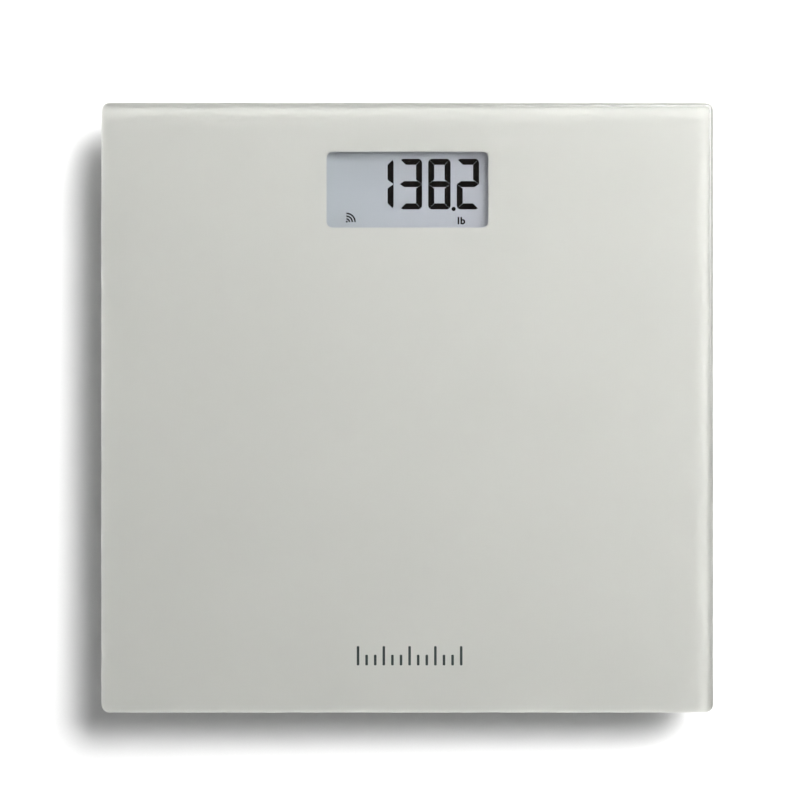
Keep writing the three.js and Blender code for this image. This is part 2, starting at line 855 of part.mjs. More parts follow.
function lcdFrame() {
  const pocketWidth = lcdWidth + 2 * fitGap;
  const pocketDepth = lcdDepth + 2 * fitGap;
  const bottom = boardTop + bondGap;
  const top = plateBottom - bondGap;
  const outer = box(
    pocketWidth + 2 * lcdFrameWall,
    pocketDepth + 2 * lcdFrameWall,
    bottom,
    top,
    0,
    windowY,
  );
  const pocket = box(pocketWidth, pocketDepth, bottom - past, lcdTop + bondGap, 0, windowY);
  const viewWidth = lcdWidth - 2 * lcdFrameLip;
  const viewDepth = lcdDepth - 2 * lcdFrameLip;
  return outer.subtract(pocket).subtract(box(viewWidth, viewDepth, bottom, top + past, 0, windowY));
}

function zebraStrip() {
  const y = windowY - lcdDepth / 2 + lcdLedge / 2;
  return box(windowWidth, zebraWidth, boardTop + bondGap, lcdMiddle - bondGap, 0, y);
}

function mainBoard() {
  const board = box(boardWidth, boardDepth, boardBottom, boardTop, 0, windowY);
  const holes = boardHolePlaces().map(({ x, y }) =>
    disc(boardHoleRadius, boardBottom - past, boardTop + past, x, y),
  );
  return board.subtract(joined(holes));
}

function controllerBlob() {
  const top = boardBottom - bondGap;
  const dome = Array.from({ length: domeSteps + 1 }, (unused, index) => {
    const angle = ((index / domeSteps) * Math.PI) / 2;
    return [blobRadius * Math.sin(angle), top - blobHeight * Math.cos(angle)];
  });
  return turned([...dome, [0, top]], smallRound);
}

function radioModule() {
  const cardTop = boardBottom - bondGap;
  const cardBottom = cardTop - radioCard.height;
  const canBottom = cardBottom - radioCan.height;
  const card = box(radioCard.width, radioCard.depth, cardBottom, cardTop);
  return card.add(box(radioCan.width, radioCan.depth, canBottom, cardTop, radioCan.x));
}

function boardScrew() {
  const headTop = boardBottom - bondGap;
  const head = disc(boardScrewHead, headTop - boardScrewHeadHeight, headTop);
  const shankTop = boardTop + boardScrewLength;
  return head.add(disc(postHoleRadius - threadGap, headTop - past, shankTop));
}

addPiece(scale, "lcd_cell", lcdCell(), lcdGlass);
addPiece(scale, "lcd_frame", lcdFrame(), whitePlastic);
addPiece(scale, "zebra_strip", zebraStrip(), zebraRubber);
addPiece(scale, "main_board", mainBoard(), boardGreen);
const blob = addPiece(scale, "controller_blob", controllerBlob(), blackResin);
blob.position.set(blobPlace.x, windowY + blobPlace.y, 0);
const radio = addPiece(scale, "radio_module", radioModule(), nickel);
radio.position.set(radioPlace.x, windowY + radioPlace.y, 0);
for (const { name, x, y } of boardHolePlaces()) {
  addPiece(scale, `board_screw_${name}`, boardScrew(), zincScrew).position.set(x, y, 0);
}

// Batteries lie side by side along Y, each turned the other way from its neighbours.
// An end is -1 for the near end of the bay and 1 for the far end.

function contactY(end) {
  return bayY + end * (bayLength / 2 - bondGap - contactThickness / 2);
}

function batteryX(index) {
  return (index - (batteryCount - 1) / 2) * batteryPitch;
}

function positiveEnd(index) {
  return index % 2 === 0 ? 1 : -1;
}

function battery() {
  const body = batteryLength - batteryNubLength;
  const profile = [
    [0, 0],
    [batteryRadius, 0],
    [batteryRadius, body],
    [batteryNubRadius, body],
    [batteryNubRadius, batteryLength],
    [0, batteryLength],
  ];
  return turned(profile, largeRound / 2);
}

for (let index = 0; index < batteryCount; index += 1) {
  const mesh = addPiece(scale, `battery_cell_${index + 1}`, battery(), batteryJacket);
  const end = positiveEnd(index);
  const nubY = bayY + end * (bayLength / 2 - contactRoom - bumpHeight - bondGap);
  mesh.position.set(batteryX(index), nubY - end * batteryLength, batteryAxis);
  mesh.rotation.x = (-end * Math.PI) / 2;
}

// A cone-shaped spring that stands on a contact plate and reaches for the battery.
class ContactSpring extends THREE.Curve {
  constructor(x, y, direction) {
    super();
    this.x = x;
    this.y = y;
    this.direction = direction;
  }

  getPoint(t, target = new THREE.Vector3()) {
    const angle = 2 * Math.PI * springTurns * t;
    const radius = springBaseRadius + (springTipRadius - springBaseRadius) * t;
    return target.set(
      this.x + radius * Math.cos(angle),
      this.y + this.direction * t * (springLength - springWire),
      batteryAxis + radius * Math.sin(angle),
    );
  }
}

function contactSpring(x, end) {
  const foot = contactY(end) - end * (contactThickness / 2);
  const curve = new ContactSpring(x, foot, -end);
  return sweep(curve, springWire, springSteps, springSides);
}

function contactBump(x, end) {
  const height = bumpHeight + bumpRoot;
  const geometry = new THREE.CylinderGeometry(bumpRadius, bumpRadius, height, smallRound);
  const y = contactY(end) - (end * (contactThickness + bumpHeight - bumpRoot)) / 2;
  return solidOf(geometry.translate(x, y, batteryAxis));
}

function batteryContact(indexes, end, tabSide) {
  const xs = indexes.map(batteryX);
  const middle = (xs[0] + xs[xs.length - 1]) / 2;
  const width = xs[xs.length - 1] - xs[0] + contactWidth;
  const y = contactY(end);
  const low = batteryAxis - contactHeight / 2;
  const high = batteryAxis + contactHeight / 2;
  const plate = box(width, contactThickness, low, high, middle, y);
  const grips = indexes.map((index) =>
    positiveEnd(index) === end
      ? contactBump(batteryX(index), end)
      : contactSpring(batteryX(index), end),
  );
  if (!tabSide) {
    return joined([plate, ...grips]);
  }
  const tabEnd = bayWidth / 2 + bayWall + tabReach;
  const tab = box(
    tabEnd - Math.abs(middle),
    contactThickness,
    batteryAxis - tabHeight / 2,
    batteryAxis + tabHeight / 2,
    (tabSide * (tabEnd + Math.abs(middle))) / 2,
    y,
  );
  return joined([plate, tab, ...grips]);
}

const last = batteryCount - 1;
addPiece(scale, "battery_contact_far_left", batteryContact([0, 1], 1, 0), nickel);
addPiece(scale, "battery_contact_far_right", batteryContact([last - 1, last], 1, 0), nickel);
addPiece(scale, "battery_contact_near_left", batteryContact([0], -1, -1), nickel);
addPiece(scale, "battery_contact_near_middle", batteryContact([1, 2], -1, 0), nickel);
addPiece(scale, "battery_contact_near_right", batteryContact([last], -1, 1), nickel);

// Leads inside the case, clear of the feet, the bay and the ribs.

function lead(points, radius) {
  const curve = new THREE.CatmullRomCurve3(points.map((point) => new THREE.Vector3(...point)));
  const steps = Math.ceil(curve.getLength() / leadStep);
  return sweep(curve, radius, steps, leadSides);
}

const boardEdge = boardWidth / 2 + leadEndGap;
const boardMiddle = (boardTop + boardBottom) / 2;
const cellEdge = footX - cellSize / 2 - leadEndGap;
const cellMiddle = (cellTop + cellBottom) / 2;

function farCellLead(side) {
  const y = footY;
  const halfway = (cellEdge + boardEdge) / 2;
  return lead(
    [
      [side * cellEdge, y, cellMiddle],
      [side * halfway, y, (cellMiddle + boardMiddle) / 2],
      [side * boardEdge, y, boardMiddle],
    ],
    cellLeadRadius,
  );
}

function nearCellLead(side) {
  const lane = boardEdge + leadFromBoard;
  const turnY = -footY + cellSize / 2;
  return lead(
    [
      [side * cellEdge, -footY, cellMiddle],
      [(side * (cellEdge + lane)) / 2, -footY, leadHeight],
      [side * lane, turnY, leadHeight],
      [side * lane, turnY + (boardNear - turnY) / 3, leadHeight],
      [side * lane, turnY + (2 * (boardNear - turnY)) / 3, leadHeight],
      [side * lane, boardNear, leadHeight],
      [side * (boardEdge + leadFromBoard / 2), boardNear + boardDepth / 4, boardMiddle],
      [side * boardEdge, boardNear + boardDepth / 4, boardMiddle],
    ],
    cellLeadRadius,
  );
}

function batteryLead(side) {
  const tabEnd = bayWidth / 2 + bayWall + tabReach + leadEndGap;
  const lane = tabEnd + 3 * batteryLeadRadius;
  const y = contactY(-1);
  return lead(
    [
      [side * tabEnd, y, batteryAxis],
      [side * (tabEnd + batteryLeadRadius), y, batteryAxis],
      [side * lane, y + 3 * batteryLeadRadius, batteryAxis],
      [side * lane, bayY, leadHeight],
      [side * lane, bayFar, leadHeight],
      [side * tabEnd, (bayFar + boardNear) / 2, leadHeight],
      [side * tabEnd, boardNear - leadEndGap, boardMiddle],
    ],
    batteryLeadRadius,
  );
}

addPiece(scale, "cell_lead_far_left", farCellLead(-1), whiteSheath);
addPiece(scale, "cell_lead_far_right", farCellLead(1), whiteSheath);
addPiece(scale, "cell_lead_near_left", nearCellLead(-1), whiteSheath);
addPiece(scale, "cell_lead_near_right", nearCellLead(1), whiteSheath);
addPiece(scale, "battery_lead_left", batteryLead(-1), redSheath);
addPiece(scale, "battery_lead_right", batteryLead(1), blackSheath);

export default scale;
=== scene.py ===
import math

import bpy
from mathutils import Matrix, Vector


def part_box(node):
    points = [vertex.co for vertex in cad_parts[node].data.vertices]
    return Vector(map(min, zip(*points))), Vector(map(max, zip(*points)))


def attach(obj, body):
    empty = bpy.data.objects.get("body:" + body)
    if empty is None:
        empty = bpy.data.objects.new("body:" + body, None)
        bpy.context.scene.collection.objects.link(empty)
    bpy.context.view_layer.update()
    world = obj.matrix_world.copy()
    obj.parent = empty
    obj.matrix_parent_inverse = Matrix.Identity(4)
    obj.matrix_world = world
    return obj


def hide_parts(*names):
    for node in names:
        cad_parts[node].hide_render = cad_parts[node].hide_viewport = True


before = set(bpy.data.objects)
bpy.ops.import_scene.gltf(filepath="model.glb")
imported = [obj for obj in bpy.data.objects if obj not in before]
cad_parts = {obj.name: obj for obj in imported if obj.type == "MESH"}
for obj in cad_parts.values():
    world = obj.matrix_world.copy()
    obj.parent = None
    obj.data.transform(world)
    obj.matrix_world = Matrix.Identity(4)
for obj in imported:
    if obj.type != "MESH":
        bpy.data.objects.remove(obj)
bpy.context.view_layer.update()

# A glass bathroom scale, in metres. Its sections go from the glass down to the feet, then
# to the pieces inside the case, and end with the studio.
MM = 0.001


# ---------------------------------------------------------------------------
# Camera: straight above the platform, far back, so that the sides don't show.
CAMERA_LENS = 290
CAMERA_SENSOR = 36
CAMERA_FIELD = 372 * MM
CAMERA_OFFSET = (-3.5 * MM, 3.5 * MM)
CAMERA_REACH = 20

glass_low, glass_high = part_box("glass_platform")
camera_data = bpy.data.cameras.new("camera")
camera_data.lens = CAMERA_LENS
camera_data.sensor_width = CAMERA_SENSOR
camera_data.clip_end = CAMERA_REACH
camera = bpy.data.objects.new("camera", camera_data)
camera_distance = CAMERA_FIELD * CAMERA_LENS / CAMERA_SENSOR
camera.location = (*CAMERA_OFFSET, glass_high.z + camera_distance)
bpy.context.scene.collection.objects.link(camera)
bpy.context.scene.camera = camera


# ---------------------------------------------------------------------------
# Platform: 5 mm tempered soda-lime float glass, cut, ground and polished round the
# edge before tempering. It lies straight on the printed film and carries the person.
GLASS_EDGE = 2.2 * MM
GLASS_CORNER = 4 * MM
GLASS_UNDER_EDGE = 0.5 * MM
FILM_CONTACT = 0.02 * MM  # the film's face is in the glass by this, so no air shows between
GLASS_TINT = "#FAFCFA"
ROLLER_WAVE = 45 * MM
ROLLER_WAVE_DEPTH = 0.2 * MM
SAME_POINT = 0.001 * MM  # points this close count as one


def deselect():
    """Leaves edit mode and selects nothing."""
    if bpy.context.object and bpy.context.object.mode == "EDIT":
        bpy.ops.object.mode_set(mode="OBJECT")
    bpy.ops.object.select_all(action="DESELECT")


def choose_edges(piece, test):
    """In edit mode, selects the edges of a piece whose two ends pass the test."""
    bpy.ops.mesh.select_mode(type="EDGE")
    bpy.ops.mesh.select_all(action="DESELECT")
    bpy.ops.object.mode_set(mode="OBJECT")
    points = [vertex.co for vertex in piece.data.vertices]
    for edge in piece.data.edges:
        edge.select = test(points[edge.vertices[0]], points[edge.vertices[1]])
    bpy.ops.object.mode_set(mode="EDIT")


def block(name, low, high):
    """A box between two corners, with its place in its mesh, left selected in edit mode."""
    deselect()
    low, high = Vector(low), Vector(high)
    bpy.ops.mesh.primitive_cube_add(size=1, location=(low + high) / 2)
    piece = bpy.context.object
    piece.name = name
    piece.data.name = name
    piece.scale = high - low
    bpy.ops.object.transform_apply(location=True, rotation=True, scale=True)
    bpy.ops.object.mode_set(mode="EDIT")
    return piece


def round_corners(piece, radius, segments=8):
    """Rounds the upright edges of a piece."""
    choose_edges(piece, lambda a, b: (a - b).xy.length < SAME_POINT)
    bpy.ops.mesh.bevel(offset=radius, segments=segments, affect="EDGES", clamp_overlap=False)


def round_rim(piece, height, radius, segments=3):
    """Rounds the edges of a piece that lie at one height."""
    choose_edges(piece, lambda a, b: max(abs(a.z - height), abs(b.z - height)) < SAME_POINT)
    bpy.ops.mesh.bevel(offset=radius, segments=segments, affect="EDGES", clamp_overlap=False)


def finished(piece, angle=35):
    """Leaves edit mode and smooths the shading between faces that meet at a small angle."""
    deselect()
    piece.select_set(True)
    bpy.context.view_layer.objects.active = piece
    bpy.ops.object.shade_smooth_by_angle(angle=math.radians(angle))
    return piece


def fitted(piece, material, body, slot, *nodes):
    """Gives a finished piece its material and its body, and hides the CAD nodes it stands for. The slot
    is not used.
    """
    piece.data.materials.clear()
    piece.data.materials.append(material)
    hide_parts(*nodes)
    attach(piece, body)
    return piece


def linear(hex_colour):
    """An sRGB hex colour as linear red, green, blue and alpha."""
    channels = [int(hex_colour[i:i + 2], 16) / 255 for i in (1, 3, 5)]
    return [c / 12.92 if c < 0.04045 else ((c + 0.055) / 1.055) ** 2.4 for c in channels] + [1]


def add_node(material, kind, settings=None, **links):
    """Adds a shader node. Settings are its properties or input values, links are its inputs
    by name, with _ for a space, each given the socket that feeds it."""
    node = material.node_tree.nodes.new(kind)
    for name, value in (settings or {}).items():
        if isinstance(name, int) or name in node.inputs:
            node.inputs[name].default_value = value
        else:
            setattr(node, name, value)
    for name, socket in links.items():
        key = int(name[1:]) if name[1:].isdigit() else name.replace("_", " ")
        material.node_tree.links.new(node.inputs[key], socket)
    return node


def new_material(name):
    material = bpy.data.materials.new(name)
    material.use_nodes = True
    material.node_tree.nodes.clear()
    return material


def surface(material, shader):
    add_node(material, "ShaderNodeOutputMaterial", Surface=shader.outputs[0])
    return material


def place_of(material, scale=(1, 1, 1)):
    """Object coordinates in metres, stretched by a scale."""
    coordinates = add_node(material, "ShaderNodeTexCoord")
    mapping = add_node(material, "ShaderNodeMapping", {"Scale": scale},
                       Vector=coordinates.outputs["Object"])
    return mapping.outputs[0]


def per_size(size):
    """A noise scale that gives features of about one real size in metres."""
    return 1 / size


def polished_glass():
    # Tempered float glass with a polished edge: clear and faintly green, with the slow
    # waves of the rollers, which only bend the reflections a little.
    material = new_material("polished_float_glass")
    waves = add_node(material, "ShaderNodeTexNoise", {"Scale": per_size(ROLLER_WAVE), "Detail": 1.0},
                     Vector=place_of(material))
    bump = add_node(material, "ShaderNodeBump", {"Strength": 0.02, "Distance": ROLLER_WAVE_DEPTH},
                    Height=waves.outputs["Fac"])
    shader = add_node(material, "ShaderNodeBsdfPrincipled",
                      {"Base Color": linear(GLASS_TINT), "Roughness": 0.0, "IOR": 1.52,
                       "Transmission Weight": 1.0}, Normal=bump.outputs[0])
    return surface(material, shader)


film_low, film_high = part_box("decor_film")
pane_bottom = film_high.z - FILM_CONTACT
pane = block("tempered_glass", (glass_low.x, glass_low.y, pane_bottom), glass_high)
round_corners(pane, GLASS_CORNER, segments=12)
round_rim(pane, glass_high.z, GLASS_EDGE, segments=8)
round_rim(pane, pane_bottom, GLASS_UNDER_EDGE)
fitted(finished(pane), polished_glass(), "scale_body", "platform_glass", "glass_platform")


# ---------------------------------------------------------------------------
# Film: a grey screen-printed decor film, laminated to the back of the glass. The
# print leaves a clear window for the display, and carries a plain row of ticks.
FILM_CORNER = 3.5 * MM
WINDOW_SIZE = (75.3 * MM, 35.3 * MM)
WINDOW_CORNER = 2.8 * MM
WINDOW_FROM_EDGE = 40.6 * MM  # far edge of the glass to the window's centre
FILM_GREY = "#C9C8C4"
TICK_INK = "#2A3434"
TICK_COUNT = 13
TICK_PITCH = 4 * MM
TICK_WIDTH = 1.2 * MM
LONG_TICK = 9 * MM
SHORT_TICK = 5 * MM
TICKS_PER_LONG = 3
TICK_CENTRE = (1 * MM, -115.5 * MM)
TICK_CORNER = 0.4 * MM
INK_SINK = 0.005 * MM  # how far the ink reaches into the film, so that no air shows
INK_RISE = 0.015 * MM
INK_CLOUDS = 60 * MM
MESH_GRAIN = 0.6 * MM
INK_SPECKLE = 0.5 * MM


def apply_boolean(piece, other, operation):
    """Joins another finished solid to a piece, or cuts it out, and deletes that solid."""
    deselect()
    modifier = piece.modifiers.new("boolean", "BOOLEAN")
    modifier.operation = operation
    modifier.solver = "EXACT"
    modifier.object = other
    bpy.context.view_layer.objects.active = piece
    bpy.ops.object.modifier_apply(modifier=modifier.name)
    bpy.data.objects.remove(other)
    return piece


def cut(piece, other):
    return apply_boolean(piece, other, "DIFFERENCE")


def add(piece, other):
    return apply_boolean(piece, other, "UNION")


def merged(pieces, name):
    """Several pieces as one object."""
    deselect()
    for piece in pieces:
        piece.select_set(True)
    bpy.context.view_layer.objects.active = pieces[0]
    bpy.ops.object.join()
    pieces[0].name = name
    pieces[0].data.name = name
    return pieces[0]


def window_cutter(margin, bottom, top):
    far = glass_high.y - WINDOW_FROM_EDGE
    half = Vector((WINDOW_SIZE[0] / 2 + margin, WINDOW_SIZE[1] / 2 + margin))
    cutter = block("window_cutter", (-half.x, far - half.y, bottom), (half.x, far + half.y, top))
    round_corners(cutter, WINDOW_CORNER)
    return finished(cutter)


def toned(material, colour, pattern, darkest, lightest):
    """A colour that a pattern makes a little darker and lighter, between two factors."""
    tone = add_node(material, "ShaderNodeMapRange", {"To Min": darkest, "To Max": lightest},
                    Value=pattern)
    scaled = add_node(material, "ShaderNodeVectorMath", {"operation": "SCALE", 0: linear(colour)[:3]},
                      Scale=tone.outputs[0])
    return scaled.outputs[0]


def printed_film():
    # Screen-printed polyester film: an even silk grey, with the faint grain of the mesh
    # and slow clouds where the ink is a little thicker.
    material = new_material("screen_printed_film")
    place = place_of(material)
    clouds = add_node(material, "ShaderNodeTexNoise", {"Scale": per_size(INK_CLOUDS), "Detail": 2.0},
                      Vector=place)
    grain = add_node(material, "ShaderNodeTexNoise", {"Scale": per_size(MESH_GRAIN), "Detail": 1.0},
                     Vector=place)
    both = add_node(material, "ShaderNodeMix", {"data_type": "FLOAT", "Factor": 0.3},
                    _2=clouds.outputs["Fac"], _3=grain.outputs["Fac"])
    shader = add_node(material, "ShaderNodeBsdfPrincipled", {"Roughness": 0.6, "IOR": 1.5},
                      Base_Color=toned(material, FILM_GREY, both.outputs[0], 0.975, 1.02))
    return surface(material, shader)


def printed_ink():
    # Dark screen ink: matt, in a thin layer that is a little uneven.
    material = new_material("screen_ink")
    speckle = add_node(material, "ShaderNodeTexNoise", {"Scale": per_size(INK_SPECKLE), "Detail": 1.0},
                       Vector=place_of(material))
    shader = add_node(material, "ShaderNodeBsdfPrincipled", {"Roughness": 0.7},
                      Base_Color=toned(material, TICK_INK, speckle.outputs["Fac"], 0.85, 1.15))
    return surface(material, shader)


film = block("decor_print", film_low, film_high)
round_corners(film, FILM_CORNER)
cut(film, window_cutter(0, film_low.z - MM, film_high.z + MM))
fitted(finished(film), printed_film(), "scale_body", "grey_print", "decor_film")

ticks = []
for index in range(TICK_COUNT):
    tick_x = TICK_CENTRE[0] + (index - (TICK_COUNT - 1) / 2) * TICK_PITCH
    tick_length = SHORT_TICK if index % TICKS_PER_LONG else LONG_TICK
    tick_low = TICK_CENTRE[1] - LONG_TICK / 2
    tick = block("tick", (tick_x - TICK_WIDTH / 2, tick_low, film_high.z - INK_SINK),
                 (tick_x + TICK_WIDTH / 2, tick_low + tick_length, film_high.z + INK_RISE))
    round_corners(tick, TICK_CORNER, segments=3)
    ticks.append(finished(tick))
tick_row = merged(ticks, "printed_ticks")
tick_row.data.materials.append(printed_ink())
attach(tick_row, "scale_body")


# ---------------------------------------------------------------------------
# Tape: white closed-cell foam tape, die-cut as a frame with an opening for the display.
# It holds the glass to the plastic below and takes up the difference in their growth.


def textured(name, colour, spread, patch, grain, depth, **shader_values):
    """A material of one colour with soft patches and a fine surface, each of a real size."""
    material = new_material(name)
    place = place_of(material)
    patches = add_node(material, "ShaderNodeTexNoise", {"Scale": per_size(patch), "Detail": 3.0},
                       Vector=place)
    texture = add_node(material, "ShaderNodeTexNoise", {"Scale": per_size(grain), "Detail": 2.0},
                       Vector=place)
    bump = add_node(material, "ShaderNodeBump", {"Strength": 1.0, "Distance": depth},
                    Height=texture.outputs["Fac"])
    tint = toned(material, colour, patches.outputs["Fac"], 1 - spread, 1 + spread)
    return surface(material, add_node(material, "ShaderNodeBsdfPrincipled", shader_values,
                                      Base_Color=tint, Normal=bump.outputs[0]))


def refined(node, name):
    """A copy of a CAD node under a new name, its triangles merged into whole faces."""
    deselect()
    piece = bpy.data.objects.new(name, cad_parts[node].data.copy())
    piece.data.name = name
    bpy.context.scene.collection.objects.link(piece)
    piece.select_set(True)
    bpy.context.view_layer.objects.active = piece
    bpy.ops.object.mode_set(mode="EDIT")
    bpy.ops.mesh.select_all(action="SELECT")
    bpy.ops.mesh.remove_doubles(threshold=SAME_POINT)
    bpy.ops.mesh.dissolve_limited(angle_limit=math.radians(1))
    return finished(piece)


# White polyethylene foam: matt, with its cells just showing on the cut edge.
foam = textured("closed_cell_foam", "#F0F0EC", spread=0.03, patch=6 * MM, grain=0.35 * MM,
                depth=0.1 * MM, Roughness=0.9)
fitted(refined("bonding_tape", "foam_tape"), foam, "scale_body", "foam_tape", "bonding_tape")


# ---------------------------------------------------------------------------
# Upper frame: injection-moulded light grey ABS, a ribbed plate with a skirt. Under it are
# the load cell seats, the battery bay, the posts of the board and the screw bosses.
frame_low, frame_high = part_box("upper_frame")
cover_low, cover_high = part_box("base_cover")
CASE_CORNER = 14 * MM
CASE_WALL = 2 * MM
SKIN = 2 * MM
PLATE_ROUND = 0.5 * MM
SKIRT_ROUND = 0.3 * MM
PARTING_GAP = 0.4 * MM
PLATE = 1.6 * MM
TONGUE_INSET = 2.3 * MM
TONGUE = 1 * MM
TONGUE_DROP = 2 * MM
RIB = 1.5 * MM
FRAME_RIB = 3.8 * MM
DOORWAY_HALF = 25.5 * MM  # half the width of the battery opening
BAY_WALL = 1.4 * MM
BAY_ROOM = 0.5 * MM
BAY_LIFT = 1.6 * MM
CELL_PLAY = 0.25 * MM
TAB_SLOT = 1.8 * MM  # half the height of the slot for a contact's tab
BAR_LIFT = 3.7 * MM
BAR_LENGTH = 22.3 * MM
LOAD_CELL_HALF = 17 * MM
SEAT_RIM = 5.5 * MM
SEAT_LIP = 1.2 * MM
SEAT_OPENING = 22 * MM
LEAD_NOTCH = 1.3 * MM  # half the width of the notch for a load cell's lead
FIT = 0.3 * MM  # around a piece in its pocket
BOND = 0.05 * MM  # between faces that rest on each other
WINDOW_MARGIN = 2.2 * MM
POST_RADIUS = 3 * MM
POST_HOLE = 1.3 * MM
POST_HOLE_DEPTH = 4.8 * MM
BOSS_RADIUS = 3.6 * MM
BOSS_HOLE = 1.6 * MM
BOSS_GAP = 0.2 * MM
COLLAR = 2.9 * MM
ABS_GREY = "#CFD0CC"
CORNERS = ("far_left", "far_right", "near_left", "near_right")
SCREWS = ("far_left", "far_right", "left", "right", "near_left", "near_right")


def centre_of(node):
    low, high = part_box(node)
    return (low + high) / 2


def slab(name, inset, bottom, top, low=frame_low, high=frame_high):
    """A slab of the case's outline, drawn in by an inset, left selected in edit mode."""
    piece = block(name, (low.x + inset, low.y + inset, bottom), (high.x - inset, high.y - inset, top))
    round_corners(piece, CASE_CORNER - inset, segments=14)
    return piece


def rod(name, centre, radius, bottom, top, sides=32):
    """An upright round bar."""
    deselect()
    bpy.ops.mesh.primitive_cylinder_add(vertices=sides, radius=radius, depth=top - bottom,
                                        location=(centre.x, centre.y, (bottom + top) / 2))
    piece = bpy.context.object
    piece.name = name
    bpy.ops.object.transform_apply(location=True)
    return finished(piece)


def wall_box(low, high):
    return finished(block("wall", low, high))


def box_about(x, y, half_x, half_y, bottom, top):
    """A box about an upright axis."""
    return wall_box((x - half_x, y - half_y, bottom), (x + half_x, y + half_y, top))


def moulded_abs():
    # ABS from a spark-eroded mould: light grey, satin, with a fine even grain.
    return textured("moulded_abs", ABS_GREY, spread=0.02, patch=30 * MM, grain=0.25 * MM,
                    depth=0.03 * MM, Roughness=0.48, IOR=1.53)


abs_plastic = moulded_abs()
skirt_bottom = cover_high.z + PARTING_GAP
skin_top = cover_low.z + SKIN
plate_bottom = frame_high.z - PLATE
seat_top = plate_bottom + PLATE / 2
web = TONGUE_INSET + TONGUE
upper = slab("upper_shell", 0, skirt_bottom, frame_high.z)
round_rim(upper, frame_high.z, PLATE_ROUND)
round_rim(upper, skirt_bottom, SKIRT_ROUND, segments=2)
finished(upper)
cut(upper, finished(slab("hollow", web, skirt_bottom - MM, plate_bottom)))
tongue = finished(slab("tongue", TONGUE_INSET, cover_high.z - TONGUE_DROP, seat_top))
cut(tongue, finished(slab("hollow", web, 0, plate_bottom + PLATE)))
add(upper, tongue)

additions = []
for corner in CORNERS:
    cell_low, cell_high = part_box(f"load_cell_{corner}")
    middle = (cell_low + cell_high) / 2
    half = (cell_high.x - cell_low.x) / 2
    lip = half + FIT + SEAT_LIP
    seat_bottom = cell_high.z + BOND
    seat = box_about(middle.x, middle.y, lip, lip, cell_low.z + BOND, seat_top)
    for reach_x, reach_y, top in ((half - SEAT_RIM, half - SEAT_RIM, plate_bottom),
                                  (half + FIT, half + FIT, seat_bottom),
                                  (lip + MM, SEAT_OPENING / 2, seat_bottom),
                                  (SEAT_OPENING / 2, lip + MM, seat_bottom)):
        cut(seat, box_about(middle.x, middle.y, reach_x, reach_y, 0, top))
    inward = -1 if middle.x > 0 else 1
    notch = sorted((middle.x, middle.x + inward * (lip + MM)))
    cut(seat, wall_box((notch[0], middle.y - LEAD_NOTCH, 0),
                       (notch[1], middle.y + LEAD_NOTCH, seat_bottom + LEAD_NOTCH)))
    additions.append(seat)

cells = [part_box(f"battery_cell_{number}") for number in (1, 2, 3, 4)]
tab_low, tab_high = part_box("battery_contact_near_left")
bay_low = Vector((cells[0][0].x - CELL_PLAY - BAY_ROOM, tab_low.y - BOND, 0))
bay_high = Vector((-bay_low.x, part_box("battery_contact_far_left")[1].y + BOND, plate_bottom))
bay = wall_box((bay_low.x - BAY_WALL, bay_low.y - BAY_WALL, skin_top + BAY_LIFT),
               (bay_high.x + BAY_WALL, bay_high.y + BAY_WALL, seat_top))
cut(bay, wall_box(bay_low, bay_high))
cell_axis = (cells[0][0].z + cells[0][1].z) / 2
cut(bay, wall_box((-bay_high.x - 2 * BAY_WALL, tab_low.y - FIT, cell_axis - TAB_SLOT),
                  (bay_high.x + 2 * BAY_WALL, tab_high.y + FIT, cell_axis + TAB_SLOT)))
additions.append(bay)
bay_middle = (bay_low.y + bay_high.y) / 2
for first, second in zip(cells, cells[1:]):
    between = (first[1].x + second[0].x) / 2
    additions.append(box_about(between, bay_middle, RIB / 2, BAR_LENGTH / 2, cell_axis + BAR_LIFT,
                               seat_top))

foot_place = centre_of("load_cell_far_right")
rib_x = (foot_place.x + DOORWAY_HALF) / 2
rib_reach = foot_place.y - (LOAD_CELL_HALF + SEAT_RIM)
rib_bottom = plate_bottom - FRAME_RIB
long_ribs = [box_about(side * rib_x, 0, RIB / 2, rib_reach, rib_bottom, seat_top) for side in (-1, 1)]
across_y = (bay_low.y - BAY_WALL - foot_place.y + LOAD_CELL_HALF) / 2
additions.append(wall_box((frame_low.x + CASE_WALL, across_y - RIB / 2, rib_bottom),
                          (frame_high.x - CASE_WALL, across_y + RIB / 2, seat_top)))

board_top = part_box("main_board")[1].z
boss_bottom = skin_top + COLLAR + BOSS_GAP
openings = [window_cutter(WINDOW_MARGIN, plate_bottom - MM, frame_high.z + MM)]
for corner in CORNERS:
    post_place = centre_of(f"board_screw_{corner}")
    additions.append(rod("post", post_place, POST_RADIUS, board_top + BOND, seat_top))
    openings.append(rod("pilot", post_place, POST_HOLE, board_top - MM, board_top + POST_HOLE_DEPTH,
                        sides=16))
for corner in SCREWS:
    boss_place = centre_of(f"cover_screw_{corner}")
    additions.append(rod("boss", boss_place, BOSS_RADIUS, boss_bottom, seat_top))
    openings.append(rod("pilot", boss_place, BOSS_HOLE, boss_bottom - MM,
                        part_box(f"cover_screw_{corner}")[1].z + FIT, sides=16))
add(upper, merged(additions, "additions"))
add(upper, merged(long_ribs, "long_ribs"))
cut(upper, merged(openings, "openings"))
fitted(finished(upper), abs_plastic, "scale_body", "case_plastic", "upper_frame")


